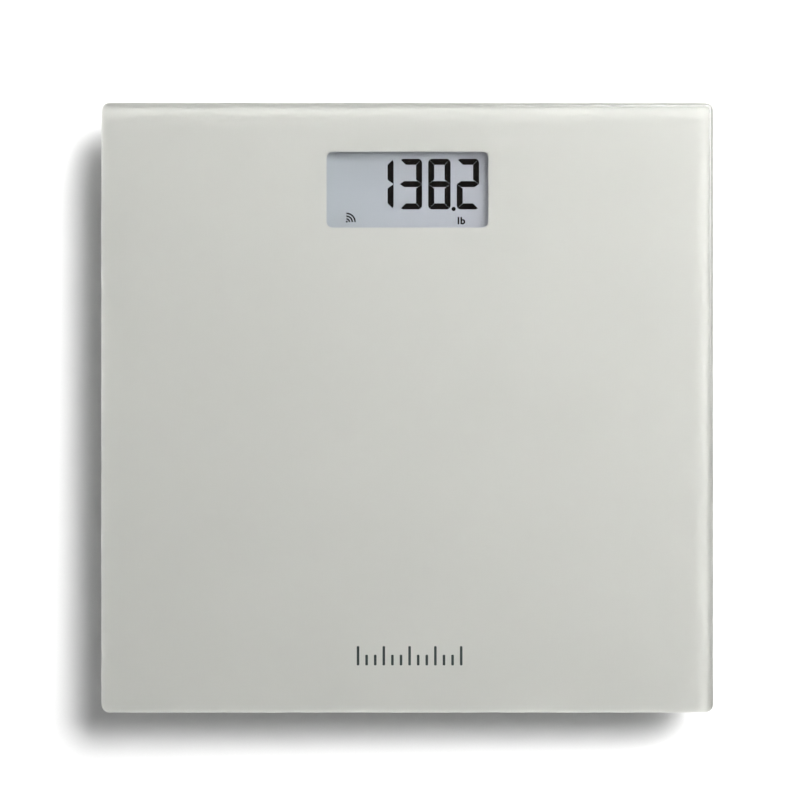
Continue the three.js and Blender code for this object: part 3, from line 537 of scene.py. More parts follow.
# ---------------------------------------------------------------------------
# Base cover: the tray that closes the case from below, moulded from the same ABS with
# a large round along its edge. Six screws hold it, and the feet pass through it.
EDGE_ROUND = 7 * MM
COVER_RIB = 2.5 * MM
WELL_GAP = 0.8 * MM
WELL_WALL = 1.5 * MM
WELL_HEIGHT = 2.3 * MM
CAP_FLANGE = 2 * MM
CAP_HOLE_GAP = 0.6 * MM
HOLE_CHAMFER = 0.4 * MM
COLLAR_WALL = 1.4 * MM
HEAD_SEAT = 6.85 * MM  # floor to the face that the screws' heads press on
HOOK_ROOM = 3 * MM  # from the doorway to the cross rib, for the door's hooks
DOOR_GAP = 0.35 * MM
DOOR_CORNER = 2 * MM
DOOR_STOP = 1.5 * MM
DOOR_STOP_HEIGHT = 1.1 * MM
SHANK_HOLE = 1.7 * MM
BUTTON_HOLE = 5.3 * MM
SCOOP = 2.5 * MM
SCOOP_DEPTH = 0.5 * MM
LABEL_SIZE = (70 * MM, 34 * MM)
LABEL_CORNER = 1 * MM
LABEL_RECESS = 0.3 * MM
FINGER_NOTCH = (8 * MM, 5 * MM, 1.1 * MM)


def radius_of(node):
    low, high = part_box(node)
    return (high.x - low.x) / 2


def tray(name, inset, bottom, top):
    """A tray's outside: the case's outline with its lower edge rounded."""
    piece = slab(name, inset, bottom, top, cover_low, cover_high)
    round_rim(piece, bottom, EDGE_ROUND - inset, segments=8)
    return finished(piece)


def chamfer_cone(centre, radius):
    """A flared plug that breaks the edge of a round hole in the underside."""
    deselect()
    bpy.ops.mesh.primitive_cone_add(vertices=96, radius1=radius + 2 * HOLE_CHAMFER, radius2=radius,
                                    depth=2 * HOLE_CHAMFER, location=(centre.x, centre.y, cover_low.z))
    bpy.ops.object.transform_apply(location=True)
    return bpy.context.object


cover = tray("cover_tray", 0, cover_low.z, cover_high.z)
cut(cover, tray("hollow", CASE_WALL, skin_top, cover_high.z + 2 * MM))
additions = []
wide_cuts = []
narrow_cuts = []
for corner in CORNERS:
    foot_centre = centre_of(f"foot_cap_{corner}")
    flange = radius_of(f"foot_cap_{corner}")
    ring = rod("well", foot_centre, flange + WELL_GAP + WELL_WALL, skin_top - MM, skin_top + WELL_HEIGHT,
               sides=96)
    well_top = skin_top + 2 * WELL_HEIGHT
    cut(ring, rod("well", foot_centre, flange + WELL_GAP, skin_top, well_top, sides=96))
    additions.append(ring)
    foot_hole = flange - CAP_FLANGE + CAP_HOLE_GAP
    wide_cuts.append(rod("foot_hole", foot_centre, foot_hole, 0, well_top, sides=96))
    narrow_cuts.append(chamfer_cone(foot_centre, foot_hole))
for corner in SCREWS:
    screw_place = centre_of(f"cover_screw_{corner}")
    head = radius_of(f"cover_screw_{corner}")
    additions.append(rod("collar", screw_place, head + COLLAR_WALL, skin_top - MM, skin_top + COLLAR))
    wide_cuts.append(rod("counterbore", screw_place, head + FIT, 0, HEAD_SEAT, sides=48))
    narrow_cuts.append(rod("shank_hole", screw_place, SHANK_HOLE, 0, skin_top + 2 * COLLAR))

door_low, door_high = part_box("battery_door")
opening_x = door_high.x + DOOR_GAP
opening_far = door_high.y + DOOR_GAP
opening_near = bay_middle * 2 - opening_far
for side in (-1, 1):
    additions.append(wall_box((side * opening_x - DOOR_STOP, bay_low.y, skin_top - MM),
                              (side * opening_x + DOOR_STOP, bay_high.y, skin_top + DOOR_STOP_HEIGHT)))
doorway = block("doorway", (-opening_x, opening_near, 0), (opening_x, opening_far, skin_top))
round_corners(doorway, DOOR_CORNER)
wide_cuts.append(finished(doorway))
deselect()
bpy.ops.mesh.primitive_uv_sphere_add(segments=48, ring_count=24, radius=1,
                                     location=(0, opening_far, cover_low.z))
notch_ball = bpy.context.object
notch_ball.scale = FINGER_NOTCH
bpy.ops.object.transform_apply(location=True, scale=True)
narrow_cuts.append(notch_ball)
for name in ("unit_button", "pairing_button"):
    button_place = centre_of(name)
    wide_cuts.append(rod("scoop", button_place, BUTTON_HOLE + SCOOP, 0, cover_low.z + SCOOP_DEPTH,
                         sides=64))
    narrow_cuts.append(rod("button_hole", button_place, BUTTON_HOLE, 0, skin_top + MM, sides=64))
label_y = (opening_near + cover_low.y) / 2
label = block("label_recess", (-LABEL_SIZE[0] / 2, label_y - LABEL_SIZE[1] / 2, 0),
              (LABEL_SIZE[0] / 2, label_y + LABEL_SIZE[1] / 2, cover_low.z + LABEL_RECESS))
round_corners(label, LABEL_CORNER, segments=4)
wide_cuts.append(finished(label))
cross_rib = opening_near - (HOOK_ROOM + RIB)
near_end = cover_low.y + 2 * EDGE_ROUND
rib_centre = opening_x + 2 * DOOR_STOP
long_ribs = [wall_box((side * rib_centre - RIB / 2, near_end, skin_top - MM),
                      (side * rib_centre + RIB / 2, cross_rib, skin_top + COVER_RIB)) for side in (-1, 1)]
side_screw = centre_of("cover_screw_right").x
additions.append(wall_box((-side_screw, cross_rib - RIB / 2, skin_top - MM),
                          (side_screw, cross_rib + RIB / 2, skin_top + COVER_RIB)))
add(cover, merged(additions, "additions"))
add(cover, merged(long_ribs, "long_ribs"))
cut(cover, merged(wide_cuts, "wide_cuts"))
cut(cover, merged(narrow_cuts, "narrow_cuts"))
fitted(finished(cover), abs_plastic, "scale_body", "case_plastic", "base_cover")


# ---------------------------------------------------------------------------
# Cover screws: six zinc-plated self-tapping screws with a cross recess and a rolled
# thread. Each stands in a counterbore of the cover and bites into a boss of the frame.
HEAD_RADIUS = 2.8 * MM
HEAD_HEIGHT = 1.8 * MM
PLAIN_SHANK = 1.5 * MM
SHANK_RADIUS = 1.4 * MM
THREAD_ROOT = 1.05 * MM
THREAD_PITCH = 1.1 * MM
CROSS_SIZE = (3 * MM, 0.8 * MM, 0.8 * MM)


def turned(name, profile, steps=48):
    """A solid turned round the z axis from radius and height pairs, left in edit mode."""
    deselect()
    bpy.ops.mesh.primitive_plane_add(size=MM)
    piece = bpy.context.object
    piece.name = name
    piece.data.name = name
    bpy.ops.object.mode_set(mode="EDIT")
    bpy.ops.mesh.select_mode(type="VERT")
    bpy.ops.mesh.select_all(action="SELECT")
    bpy.ops.mesh.merge(type="CENTER")
    place = Vector((0, 0, 0))
    for index, (radius, height) in enumerate(profile):
        step = Vector((radius, 0, height)) - place
        place += step
        if index == 0:
            bpy.ops.transform.translate(value=step)
        else:
            bpy.ops.mesh.extrude_region_move(TRANSFORM_OT_translate={"value": step})
    bpy.ops.mesh.select_all(action="SELECT")
    bpy.ops.mesh.spin(steps=steps, angle=math.radians(360), center=(0, 0, 0), axis=(0, 0, 1))
    bpy.ops.mesh.select_all(action="SELECT")
    bpy.ops.mesh.remove_doubles(threshold=SAME_POINT)
    bpy.ops.mesh.normals_make_consistent(inside=False)
    return piece


def bevelled(piece, width, segments=2, angle=40):
    """Rounds every edge of a finished piece that is sharper than an angle."""
    deselect()
    bpy.context.view_layer.objects.active = piece
    modifier = piece.modifiers.new("bevel", "BEVEL")
    modifier.width = width
    modifier.segments = segments
    modifier.limit_method = "ANGLE"
    modifier.angle_limit = math.radians(angle)
    bpy.ops.object.modifier_apply(modifier=modifier.name)
    return finished(piece)


def copied(piece, name, offset):
    """A copy of a piece with a mesh of its own, moved by an offset in its mesh."""
    deselect()
    twin = bpy.data.objects.new(name, piece.data.copy())
    bpy.context.scene.collection.objects.link(twin)
    twin.data.name = name
    twin.location = offset
    twin.select_set(True)
    bpy.context.view_layer.objects.active = twin
    bpy.ops.object.transform_apply(location=True)
    return twin


def zinc_plate():
    # Bright zinc over steel: a bluish white metal with the fine frost of the plating bath.
    return textured("zinc_plated_steel", "#C9CCCF", spread=0.05, patch=1.5 * MM, grain=0.15 * MM,
                    depth=0.01 * MM, Metallic=1.0, Roughness=0.32)


def standing_for(node, master, name, material, body, slot, angle=35):
    """A copy of a master, centred on the CAD node that it stands for."""
    place = centre_of(node)
    piece = copied(master, name, (place.x, place.y, 0))
    return fitted(finished(piece, angle), material, body, slot, node)


screw_low, screw_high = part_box("cover_screw_left")
head_top = screw_low.z + HEAD_HEIGHT
screw_profile = [(0, screw_low.z), (HEAD_RADIUS, screw_low.z), (HEAD_RADIUS, head_top),
                 (THREAD_ROOT, head_top)]
height = head_top + PLAIN_SHANK
while height + 2 * THREAD_PITCH < screw_high.z:
    screw_profile += [(THREAD_ROOT, height), (SHANK_RADIUS, height + THREAD_PITCH / 2)]
    height += THREAD_PITCH
screw_profile += [(THREAD_ROOT, height), (THREAD_ROOT / 3, screw_high.z), (0, screw_high.z)]
screw_master = finished(turned("screw_master", screw_profile, steps=32), angle=60)
for across, along in (CROSS_SIZE[:2], CROSS_SIZE[1::-1]):
    cut(screw_master, box_about(0, 0, across / 2, along / 2, screw_low.z - MM,
                                screw_low.z + CROSS_SIZE[2]))
zinc = zinc_plate()
for corner in SCREWS:
    standing_for(f"cover_screw_{corner}", screw_master, f"self_tapping_screw_{corner}", zinc,
                 "scale_body", "screw_zinc", angle=50)
bpy.data.objects.remove(screw_master)


# ---------------------------------------------------------------------------
# Battery door: a moulded ABS lid. Two hooks at its near end go under the cover, and a
# tongue between two slots springs at its far end, with grip grooves for a finger tip.
DOOR_PLATE = 1.8 * MM
DOOR_EDGE = 0.3 * MM
HOOK_PLACE = 15 * MM
HOOK_WIDTH = 7 * MM
HOOK_ROOT = 1.4 * MM
HOOK_THICKNESS = 1 * MM
LATCH_WIDTH = 14 * MM
LATCH_SLOT = 1 * MM
LATCH_LENGTH = 10 * MM
LATCH_LIP = 1.5 * MM
LATCH_LIP_HEIGHT = 1.1 * MM
GRIP_COUNT = 4
GRIP_PITCH = 2 * MM
GRIP_SIZE = (12.4 * MM, 0.8 * MM, 0.4 * MM)
GRIP_ROUND = 0.2 * MM

door_near = 2 * bay_middle - door_high.y
door_top = door_low.z + DOOR_PLATE
lid = block("battery_lid", (door_low.x, door_near, door_low.z), (door_high.x, door_high.y, door_top))
round_corners(lid, DOOR_CORNER - DOOR_GAP)
round_rim(lid, door_low.z, DOOR_EDGE)
finished(lid)
for side in (-1, 1):
    hook_low = side * HOOK_PLACE - HOOK_WIDTH / 2
    add(lid, wall_box((hook_low, door_near, door_top - MM),
                      (hook_low + HOOK_WIDTH, door_near + HOOK_ROOT, door_high.z)))
    add(lid, wall_box((hook_low, door_low.y, door_high.z - HOOK_THICKNESS),
                      (hook_low + HOOK_WIDTH, door_near + HOOK_ROOT / 2, door_high.z)))
add(lid, wall_box((-LATCH_WIDTH / 2, door_high.y - LATCH_LIP, door_top - MM),
                  (LATCH_WIDTH / 2, door_high.y, door_top + LATCH_LIP_HEIGHT)))
for side in (-1, 1):
    slot_edges = sorted((side * LATCH_WIDTH / 2, side * (LATCH_WIDTH / 2 + LATCH_SLOT)))
    cut(lid, wall_box((slot_edges[0], door_high.y - LATCH_LENGTH, 0),
                      (slot_edges[1], door_high.y + MM, door_high.z + MM)))
for index in range(GRIP_COUNT):
    groove_y = door_high.y - LATCH_LIP - GRIP_SIZE[1] - index * GRIP_PITCH
    groove_top = door_low.z + GRIP_SIZE[2]
    groove = block("groove", (-GRIP_SIZE[0] / 2, groove_y - GRIP_SIZE[1] / 2, door_low.z - MM),
                   (GRIP_SIZE[0] / 2, groove_y + GRIP_SIZE[1] / 2, groove_top))
    round_rim(groove, groove_top, GRIP_ROUND, segments=2)
    cut(lid, finished(groove))
fitted(finished(lid), abs_plastic, "door", "case_plastic", "battery_door")


# ---------------------------------------------------------------------------
# Buttons: two white ABS keys on the underside, one for the unit and one for pairing,
# each with a dished face and a flange that keeps it in its hole under its switch.
KEY_FLANGE = 1.5 * MM
KEY_FLANGE_THICKNESS = 0.65 * MM
KEY_DISH = 0.5 * MM
KEY_DISH_RADIUS = 3.6 * MM
KEY_DISH_CURVE = ((0, 1), (0.6, 0.95), (1, 0.7))  # share of its radius, share of its depth
KEY_EDGE = 0.2 * MM


def white_abs():
    # Gloss-moulded white ABS: nearly smooth, with a faint waviness.
    return textured("gloss_white_abs", "#E9E9E5", spread=0.015, patch=12 * MM, grain=2 * MM,
                    depth=0.01 * MM, Roughness=0.3, IOR=1.53)


key_low, key_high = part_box("unit_button")
key_radius = radius_of("unit_button") - KEY_FLANGE
flange_bottom = key_high.z - KEY_FLANGE_THICKNESS
key_profile = [(KEY_DISH_RADIUS * reach, key_low.z + KEY_DISH * depth) for reach, depth in KEY_DISH_CURVE]
key_profile += [(KEY_DISH_RADIUS + KEY_DISH, key_low.z), (key_radius, key_low.z),
                (key_radius, flange_bottom), (key_radius + KEY_FLANGE, flange_bottom),
                (key_radius + KEY_FLANGE, key_high.z), (0, key_high.z)]
key_master = bevelled(finished(turned("key_master", key_profile, steps=64)), KEY_EDGE)
white_plastic = white_abs()
for name, body in (("unit_button", "unit_key"), ("pairing_button", "pairing_key")):
    standing_for(name, key_master, f"{name}_cap", white_plastic, body, "white_plastic")
bpy.data.objects.remove(key_master)


# ---------------------------------------------------------------------------
# Switches: two tact switches soldered under the board, each a black nylon body with a
# round plunger, pressed by the keys.


def painted(material, *nodes):
    """Gives CAD nodes that keep their own shape a material."""
    for node in nodes:
        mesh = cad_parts[node].data
        mesh.materials.clear()
        mesh.materials.append(material)


# Glass-filled nylon: matt black, with the fibres just clouding its surface.
nylon = textured("glass_filled_nylon", "#1E1E20", spread=0.12, patch=0.8 * MM, grain=0.2 * MM,
                 depth=0.02 * MM, Roughness=0.55)
painted(nylon, "tact_switch_unit", "tact_switch_pairing")


# ---------------------------------------------------------------------------
# Feet: four white ABS caps that slide a little in the cover, each with a thermoplastic
# rubber pad bonded into its face, and a pressed steel plate that leads the load to the cell.
FOOT_SIDES = 96
CAP_ROUND = 0.35 * MM
CAP_CHAMFER = 1.2 * MM
CAP_FLANGE_THICKNESS = 1 * MM
PAD_GROOVE = 0.4 * MM
PAD_GROOVE_MOUTH = 0.5 * MM  # half widths of a groove at its mouth and on its ground
PAD_GROOVE_GROUND = 0.25 * MM
PAD_RINGS = 3
PAD_CHAMFER = 0.5 * MM
PAD_EDGE = 0.1 * MM

foot_low, foot_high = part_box("foot_cap_far_left")
pad_low, pad_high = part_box("foot_pad_far_left")
cap_flange = radius_of("foot_cap_far_left")
cap_radius = cap_flange - CAP_FLANGE
flange_low = foot_high.z - CAP_FLANGE_THICKNESS
pad_radius = radius_of("foot_pad_far_left")
cap_seat = pad_high.z + BOND
press_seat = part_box("pressure_plate_far_left")[0].z - BOND
press_radius = radius_of("pressure_plate_far_left")
cap_profile = [(0, cap_seat), (pad_radius + FIT, cap_seat), (pad_radius + FIT, foot_low.z),
               (cap_radius - CAP_CHAMFER, foot_low.z), (cap_radius, foot_low.z + CAP_CHAMFER),
               (cap_radius, flange_low), (cap_flange, flange_low), (cap_flange, foot_high.z),
               (press_radius + FIT, foot_high.z), (press_radius + FIT, press_seat), (0, press_seat)]
cap_turned = turned("cap_master", cap_profile, FOOT_SIDES)
cap_master = bevelled(finished(cap_turned), CAP_ROUND, segments=3, angle=30)

pad_profile = [(0, pad_low.z)]
groove_ground = pad_low.z + PAD_GROOVE
for ring in range(1, PAD_RINGS + 1):
    groove_radius = ring * pad_radius / (PAD_RINGS + 1)
    pad_profile += [(groove_radius - PAD_GROOVE_MOUTH, pad_low.z),
                    (groove_radius - PAD_GROOVE_GROUND, groove_ground),
                    (groove_radius + PAD_GROOVE_GROUND, groove_ground),
                    (groove_radius + PAD_GROOVE_MOUTH, pad_low.z)]
pad_profile += [(pad_radius - PAD_CHAMFER, pad_low.z), (pad_radius, pad_low.z + PAD_CHAMFER),
                (pad_radius, pad_high.z), (0, pad_high.z)]
pad_turned = turned("pad_master", pad_profile, FOOT_SIDES)
pad_master = bevelled(finished(pad_turned), PAD_EDGE, angle=30)

# Thermoplastic rubber: dull white, a little yellowed, with a soft grain that grips.
pad_rubber = textured("thermoplastic_rubber", "#D8D6CE", spread=0.04, patch=5 * MM, grain=0.3 * MM,
                      depth=0.06 * MM, Roughness=0.8, IOR=1.5)
for corner in CORNERS:
    body = f"foot_{corner}"
    standing_for(f"foot_cap_{corner}", cap_master, f"foot_shell_{corner}", white_plastic, body,
                 "white_plastic")
    standing_for(f"foot_pad_{corner}", pad_master, f"foot_tread_{corner}", pad_rubber, body,
                 "pad_rubber")
bpy.data.objects.remove(cap_master)
bpy.data.objects.remove(pad_master)


# ---------------------------------------------------------------------------
# Load cells: punched spring steel plates, nickel plated, whose middle tongue bends under
# the stud of the pressure plate. A strain gauge on each sends its reading by a thin lead.
LINE_WIDTH = 0.5 * MM
LINE_SLIMNESS = 0.06  # width of a rolled line over its length
GLOSS_SPREAD = 0.06
LINE_DEPTH = 0.01 * MM


def nickel_plate(name, tint, frost):
    # Plated sheet steel: warm grey metal with the faint drawn lines of the rolled sheet.
    material = new_material(name)
    lines = add_node(material, "ShaderNodeTexNoise", {"Scale": per_size(LINE_WIDTH), "Detail": 2.0},
                     Vector=place_of(material, (1, LINE_SLIMNESS, 1)))
    colour = add_node(material, "ShaderNodeMix",
                      {"data_type": "RGBA", 6: linear(tint[0]), 7: linear(tint[1])},
                      Factor=lines.outputs["Fac"])
    gloss = add_node(material, "ShaderNodeMapRange",
                     {"To Min": frost - GLOSS_SPREAD, "To Max": frost + GLOSS_SPREAD},
                     Value=lines.outputs["Fac"])
    bump = add_node(material, "ShaderNodeBump", {"Strength": 0.3, "Distance": LINE_DEPTH},
                    Height=lines.outputs["Fac"])
    shader = add_node(material, "ShaderNodeBsdfPrincipled", {"Metallic": 1.0},
                      Base_Color=colour.outputs[2], Roughness=gloss.outputs[0], Normal=bump.outputs[0])
    return surface(material, shader)


painted(nickel_plate("nickel_plated_spring_steel", ("#B4B0A6", "#C3BFB5"), 0.3),
        *[f"load_cell_{corner}" for corner in CORNERS],
        *[f"pressure_plate_{corner}" for corner in CORNERS])


def pvc_sheath(name, colour):
    # Extruded PVC: smooth and a little waxy, with the slight unevenness of the die.
    return textured(name, colour, spread=0.04, patch=4 * MM, grain=0.6 * MM, depth=0.02 * MM,
                    Roughness=0.38, IOR=1.53)


painted(pvc_sheath("white_pvc_sheath", "#DAD9D3"), *[f"cell_lead_{corner}" for corner in CORNERS])


# ---------------------------------------------------------------------------
# Display: a twisted-nematic LCD, two sheets of glass with a grey-blue reflector at the
# back, seen through the clear window. Lit segments are near black.
lcd_low, lcd_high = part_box("lcd_cell")
DIGIT_WIDTH = 10.4 * MM
DIGIT_HEIGHT = 23.5 * MM
DIGIT_PITCH = 13.25 * MM
DIGIT_STROKE = 2.8 * MM
DIGIT_CORNER = 2 * MM
MITRE_SLOPE = 0.7
SEGMENT_GAP = 0.08 * MM
DIGITS_FROM_RIGHT = 7.4 * MM  # right edge of the LCD to the last digit
DIGITS_FROM_TOP = 6.3 * MM
SEGMENT_DEPTH = 0.03 * MM
SEGMENT_SINK = SEGMENT_DEPTH / 3
LCD_LEDGE = 4.5 * MM
LCD_CORNER = 0.3 * MM
LCD_EDGE = 0.15 * MM
FOIL_GRAIN = 0.5 * MM
CAST_PATCH = 3 * MM
POINT_RADIUS = 1.0 * MM
POINT_LIFT = 0.2 * MM  # the point's centre above the foot of the digits
UNIT_HEIGHT = 4.6 * MM
UNIT_WEIGHT = 0.15 * MM
UNIT_SPACING = 1.15
UNIT_PLACE = (1.7 * MM, -6.8 * MM)  # from the point across, and from the foot of the digits
ICON_PLACE = (12.2 * MM, 5.6 * MM)  # from the LCD's near left corner
ICON_ARCS = (1.1 * MM, 2.4 * MM, 3.7 * MM)
ICON_STROKE = 0.7 * MM
ICON_SLICE = 0.01 * MM
ICON_DOT = 0.45 * MM
ICON_DOT_PLACE = Vector((0.2 * MM, 0.2 * MM))
SHOWN = ("bc", "abcdg", "abcdefg", "abdeg")  # the lit bars of 1, 3, 8 and 2
segment_bottom = lcd_high.z - SEGMENT_SINK
segment_top = lcd_high.z + SEGMENT_DEPTH - SEGMENT_SINK


def lcd_glass():
    # Reflective LCD: a slightly grainy foil behind polarised glass. Its colour has painted shade and
    # painted light: cooler and darker at the side that is away from the light, more lavender towards it.
    material = new_material("lcd_reflector_glass")
    place = place_of(material)
    across = add_node(material, "ShaderNodeSeparateXYZ", Vector=place)
    # Painted light and shade: the colour goes from darker and cooler at the LCD's left to lighter at its
    # right, where the light comes from.
    painted_light_ramp = add_node(material, "ShaderNodeMapRange",
                     {"From Min": lcd_low.x, "From Max": lcd_high.x}, Value=across.outputs["X"])
    tint = add_node(material, "ShaderNodeMix",
                    {"data_type": "RGBA", 6: linear("#B4B8C1"), 7: linear("#C1C1CD")},
                    Factor=painted_light_ramp.outputs[0])
    foil = add_node(material, "ShaderNodeTexNoise", {"Scale": per_size(FOIL_GRAIN), "Detail": 2.0},
                    Vector=place)
    grain = add_node(material, "ShaderNodeMapRange", {"To Min": 0.96, "To Max": 1.04},
                     Value=foil.outputs["Fac"])
    colour = add_node(material, "ShaderNodeVectorMath", {"operation": "SCALE"},
                      _0=tint.outputs[2], Scale=grain.outputs[0])
    shader = add_node(material, "ShaderNodeBsdfPrincipled",
                      {"Roughness": 0.45, "IOR": 1.5, "Coat Weight": 0.5, "Coat Roughness": 0.1},
                      Base_Color=colour.outputs[0])
    return surface(material, shader)


def lit_segment_black():
    # A driven liquid crystal between polarisers: near black, with a warm brown cast that
    # varies a little over the bar.
    material = new_material("driven_lcd_segment")
    cast = add_node(material, "ShaderNodeTexNoise", {"Scale": per_size(CAST_PATCH), "Detail": 1.0},
                    Vector=place_of(material))
    colour = add_node(material, "ShaderNodeMix",
                      {"data_type": "RGBA", 6: linear("#0C0706"), 7: linear("#180F0B")},
                      Factor=cast.outputs["Fac"])
    shader = add_node(material, "ShaderNodeBsdfPrincipled",
                      {"Roughness": 0.4, "Specular IOR Level": 0.1}, Base_Color=colour.outputs[2])
    return surface(material, shader)


sheets_meet = (lcd_low.z + lcd_high.z) / 2
lcd = finished(block("lcd_glass_stack", (lcd_low.x, lcd_low.y, sheets_meet), lcd_high))
add(lcd, wall_box((lcd_low.x, lcd_low.y + LCD_LEDGE, lcd_low.z),
                  (lcd_high.x, lcd_high.y, sheets_meet + BOND)))
bpy.context.view_layer.objects.active = lcd
bpy.ops.object.mode_set(mode="EDIT")
round_corners(lcd, LCD_CORNER, segments=2)
round_rim(lcd, lcd_high.z, LCD_EDGE, segments=2)
fitted(finished(lcd), lcd_glass(), "scale_body", "display_glass", "lcd_cell")


def mitred_bar(low, high, planes):
    """A bar cut off along upright planes, each a point and the direction that is cut away."""
    bar = block("segment", (*low, segment_bottom), (*high, segment_top))
    for point, away in planes:
        bpy.ops.mesh.select_all(action="SELECT")
        bpy.ops.mesh.bisect(plane_co=(*point, 0), plane_no=(*away, 0), use_fill=True,
                            clear_outer=True)
    return finished(bar)


def rounding(corner, side, end):
    """Planes that round one outer corner of a digit."""
    centre = Vector((corner.x - side * DIGIT_CORNER, corner.y - end * DIGIT_CORNER))
    turns = [math.radians(angle) for angle in (15, 30, 45, 60, 75)]
    aways = [Vector((side * math.cos(turn), end * math.sin(turn))) for turn in turns]
    return [(centre + away * DIGIT_CORNER, away) for away in aways]


def segment(letter, centre):
    """One bar of a seven-segment digit, lettered clockwise from the top, with g in the middle."""
    half = Vector((DIGIT_WIDTH / 2, DIGIT_HEIGHT / 2))
    planes = []
    if letter in "adg":
        end = {"a": 1, "d": -1, "g": 0}[letter]
        middle = centre.y + end * (half.y - DIGIT_STROKE / 2)
        low = Vector((centre.x - half.x, middle - DIGIT_STROKE / 2))
        high = Vector((centre.x + half.x, middle + DIGIT_STROKE / 2))
        for side in (-1, 1):
            corner = Vector((centre.x + side * half.x, centre.y + end * half.y))
            tip = Vector((corner.x - side * SEGMENT_GAP, corner.y))
            ways = (-1, 1) if letter == "g" else (-end,)
            slope = 1 if end else MITRE_SLOPE
            planes += [(tip, Vector((slope * side, way))) for way in ways]
            if end:
                planes += rounding(corner, side, end)
        return mitred_bar(low, high, planes)
    side = 1 if letter in "bc" else -1
    end = 1 if letter in "bf" else -1
    outer = centre.x + side * half.x
    inner = outer - side * DIGIT_STROKE
    rows = sorted((centre.y, centre.y + end * half.y))
    low = Vector((min(outer, inner), rows[0]))
    high = Vector((max(outer, inner), rows[1]))
    corner = Vector((outer, centre.y + end * half.y))
    planes.append((Vector((outer, corner.y - end * SEGMENT_GAP)), Vector((-side, end))))
    planes.append((Vector((outer, centre.y + end * SEGMENT_GAP)), Vector((-MITRE_SLOPE * side, -end))))
    return mitred_bar(low, high, planes + rounding(corner, side, end))


def choose(piece, test):
    """In edit mode, selects the faces of a piece whose normal passes the test."""
    bpy.ops.mesh.select_mode(type="FACE")
    bpy.ops.mesh.select_all(action="DESELECT")
    bpy.ops.object.mode_set(mode="OBJECT")
    for face in piece.data.polygons:
        face.select = test(face.normal)
    bpy.ops.object.mode_set(mode="EDIT")


def wave_arc(centre, radius):
    """A quarter ring that opens to the upper right, spun from a thin block."""
    arc = block("arc", (centre.x + radius, centre.y, segment_bottom),
                (centre.x + radius + ICON_STROKE, centre.y + ICON_SLICE, segment_top))
    choose(arc, lambda normal: normal.y > 0.9)
    bpy.ops.mesh.spin(steps=8, angle=math.radians(-90), center=(*centre, 0), axis=(0, 0, 1))
    bpy.ops.mesh.select_all(action="SELECT")
    bpy.ops.mesh.remove_doubles(threshold=SAME_POINT)
    bpy.ops.mesh.normals_make_consistent(inside=False)
    return finished(arc)


digit_centre_y = lcd_high.y - DIGITS_FROM_TOP - DIGIT_HEIGHT / 2
bars = []
for index, letters in enumerate(SHOWN):
    from_last = len(SHOWN) - 1 - index
    digit_x = lcd_high.x - DIGITS_FROM_RIGHT - DIGIT_WIDTH / 2 - from_last * DIGIT_PITCH
    bars += [segment(letter, Vector((digit_x, digit_centre_y))) for letter in letters]

digit_foot = digit_centre_y - DIGIT_HEIGHT / 2
point_x = lcd_high.x - DIGITS_FROM_RIGHT - DIGIT_WIDTH - (DIGIT_PITCH - DIGIT_WIDTH) / 2
point = Vector((point_x, digit_foot + POINT_LIFT))
bars.append(rod("point", point, POINT_RADIUS, segment_bottom, segment_top, sides=24))

bpy.ops.object.text_add(location=(0, 0, 0))
unit = bpy.context.object
unit.data.body = "lb"
unit.data.size = UNIT_HEIGHT
unit.data.extrude = SEGMENT_DEPTH / 2
unit.data.offset = UNIT_WEIGHT
unit.data.space_character = UNIT_SPACING
bpy.ops.object.convert(target="MESH")
unit.location = (point_x + UNIT_PLACE[0], digit_foot + UNIT_PLACE[1], (segment_bottom + segment_top) / 2)
bpy.ops.object.transform_apply(location=True)
bars.append(unit)

icon = Vector((lcd_low.x + ICON_PLACE[0], lcd_low.y + ICON_PLACE[1]))
bars += [wave_arc(icon, radius) for radius in ICON_ARCS]
bars.append(rod("dot", icon + ICON_DOT_PLACE, ICON_DOT, segment_bottom, segment_top, sides=16))

segments = merged(bars, "lcd_segments")
segments.data.materials.clear()
segments.data.materials.append(lit_segment_black())
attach(segments, "scale_body")


# ---------------------------------------------------------------------------
# Display frame: a white ABS frame that presses the LCD on its zebra strip, a bar of
# silicone with carbon layers, and that against the edge of the board.
BEZEL_EDGE = 0.25 * MM

zebra = textured("carbon_silicone_zebra", "#3A3A3C", spread=0.3, patch=0.1 * MM, grain=0.1 * MM,
                 depth=0.01 * MM, Roughness=0.7)
painted(zebra, "zebra_strip")
lcd_bezel = bevelled(refined("lcd_frame", "lcd_bezel"), BEZEL_EDGE, segments=3)
fitted(lcd_bezel, white_plastic, "scale_body", "white_plastic", "lcd_frame")


# ---------------------------------------------------------------------------
# Main board: glass-epoxy laminate under a green solder mask, screwed to the frame's
# posts. It holds the controller under a drop of black resin, and a radio module.
TRACK_PITCH = 1.2 * MM
TRACK_HEIGHT = 0.03 * MM


def solder_mask():
    # Green solder mask over copper: glossy, with the tracks as lighter bands under it.
    material = new_material("green_solder_mask")
    place = place_of(material)
    tracks = add_node(material, "ShaderNodeTexBrick",
                      {"Scale": per_size(2 * TRACK_PITCH), "Color1": linear("#1F6A40"),
                       "Color2": linear("#237547"), "Mortar": linear("#174F33"),
                       "Mortar Size": 0.12, "Brick Width": 3.0, "Row Height": 0.5}, Vector=place)
    bump = add_node(material, "ShaderNodeBump",
                    {"Strength": 0.5, "Distance": TRACK_HEIGHT, "invert": True},
                    Height=tracks.outputs["Fac"])
    shader = add_node(material, "ShaderNodeBsdfPrincipled", {"Roughness": 0.28, "IOR": 1.52},
                      Base_Color=tracks.outputs["Color"], Normal=bump.outputs[0])
    return surface(material, shader)


painted(solder_mask(), "main_board")
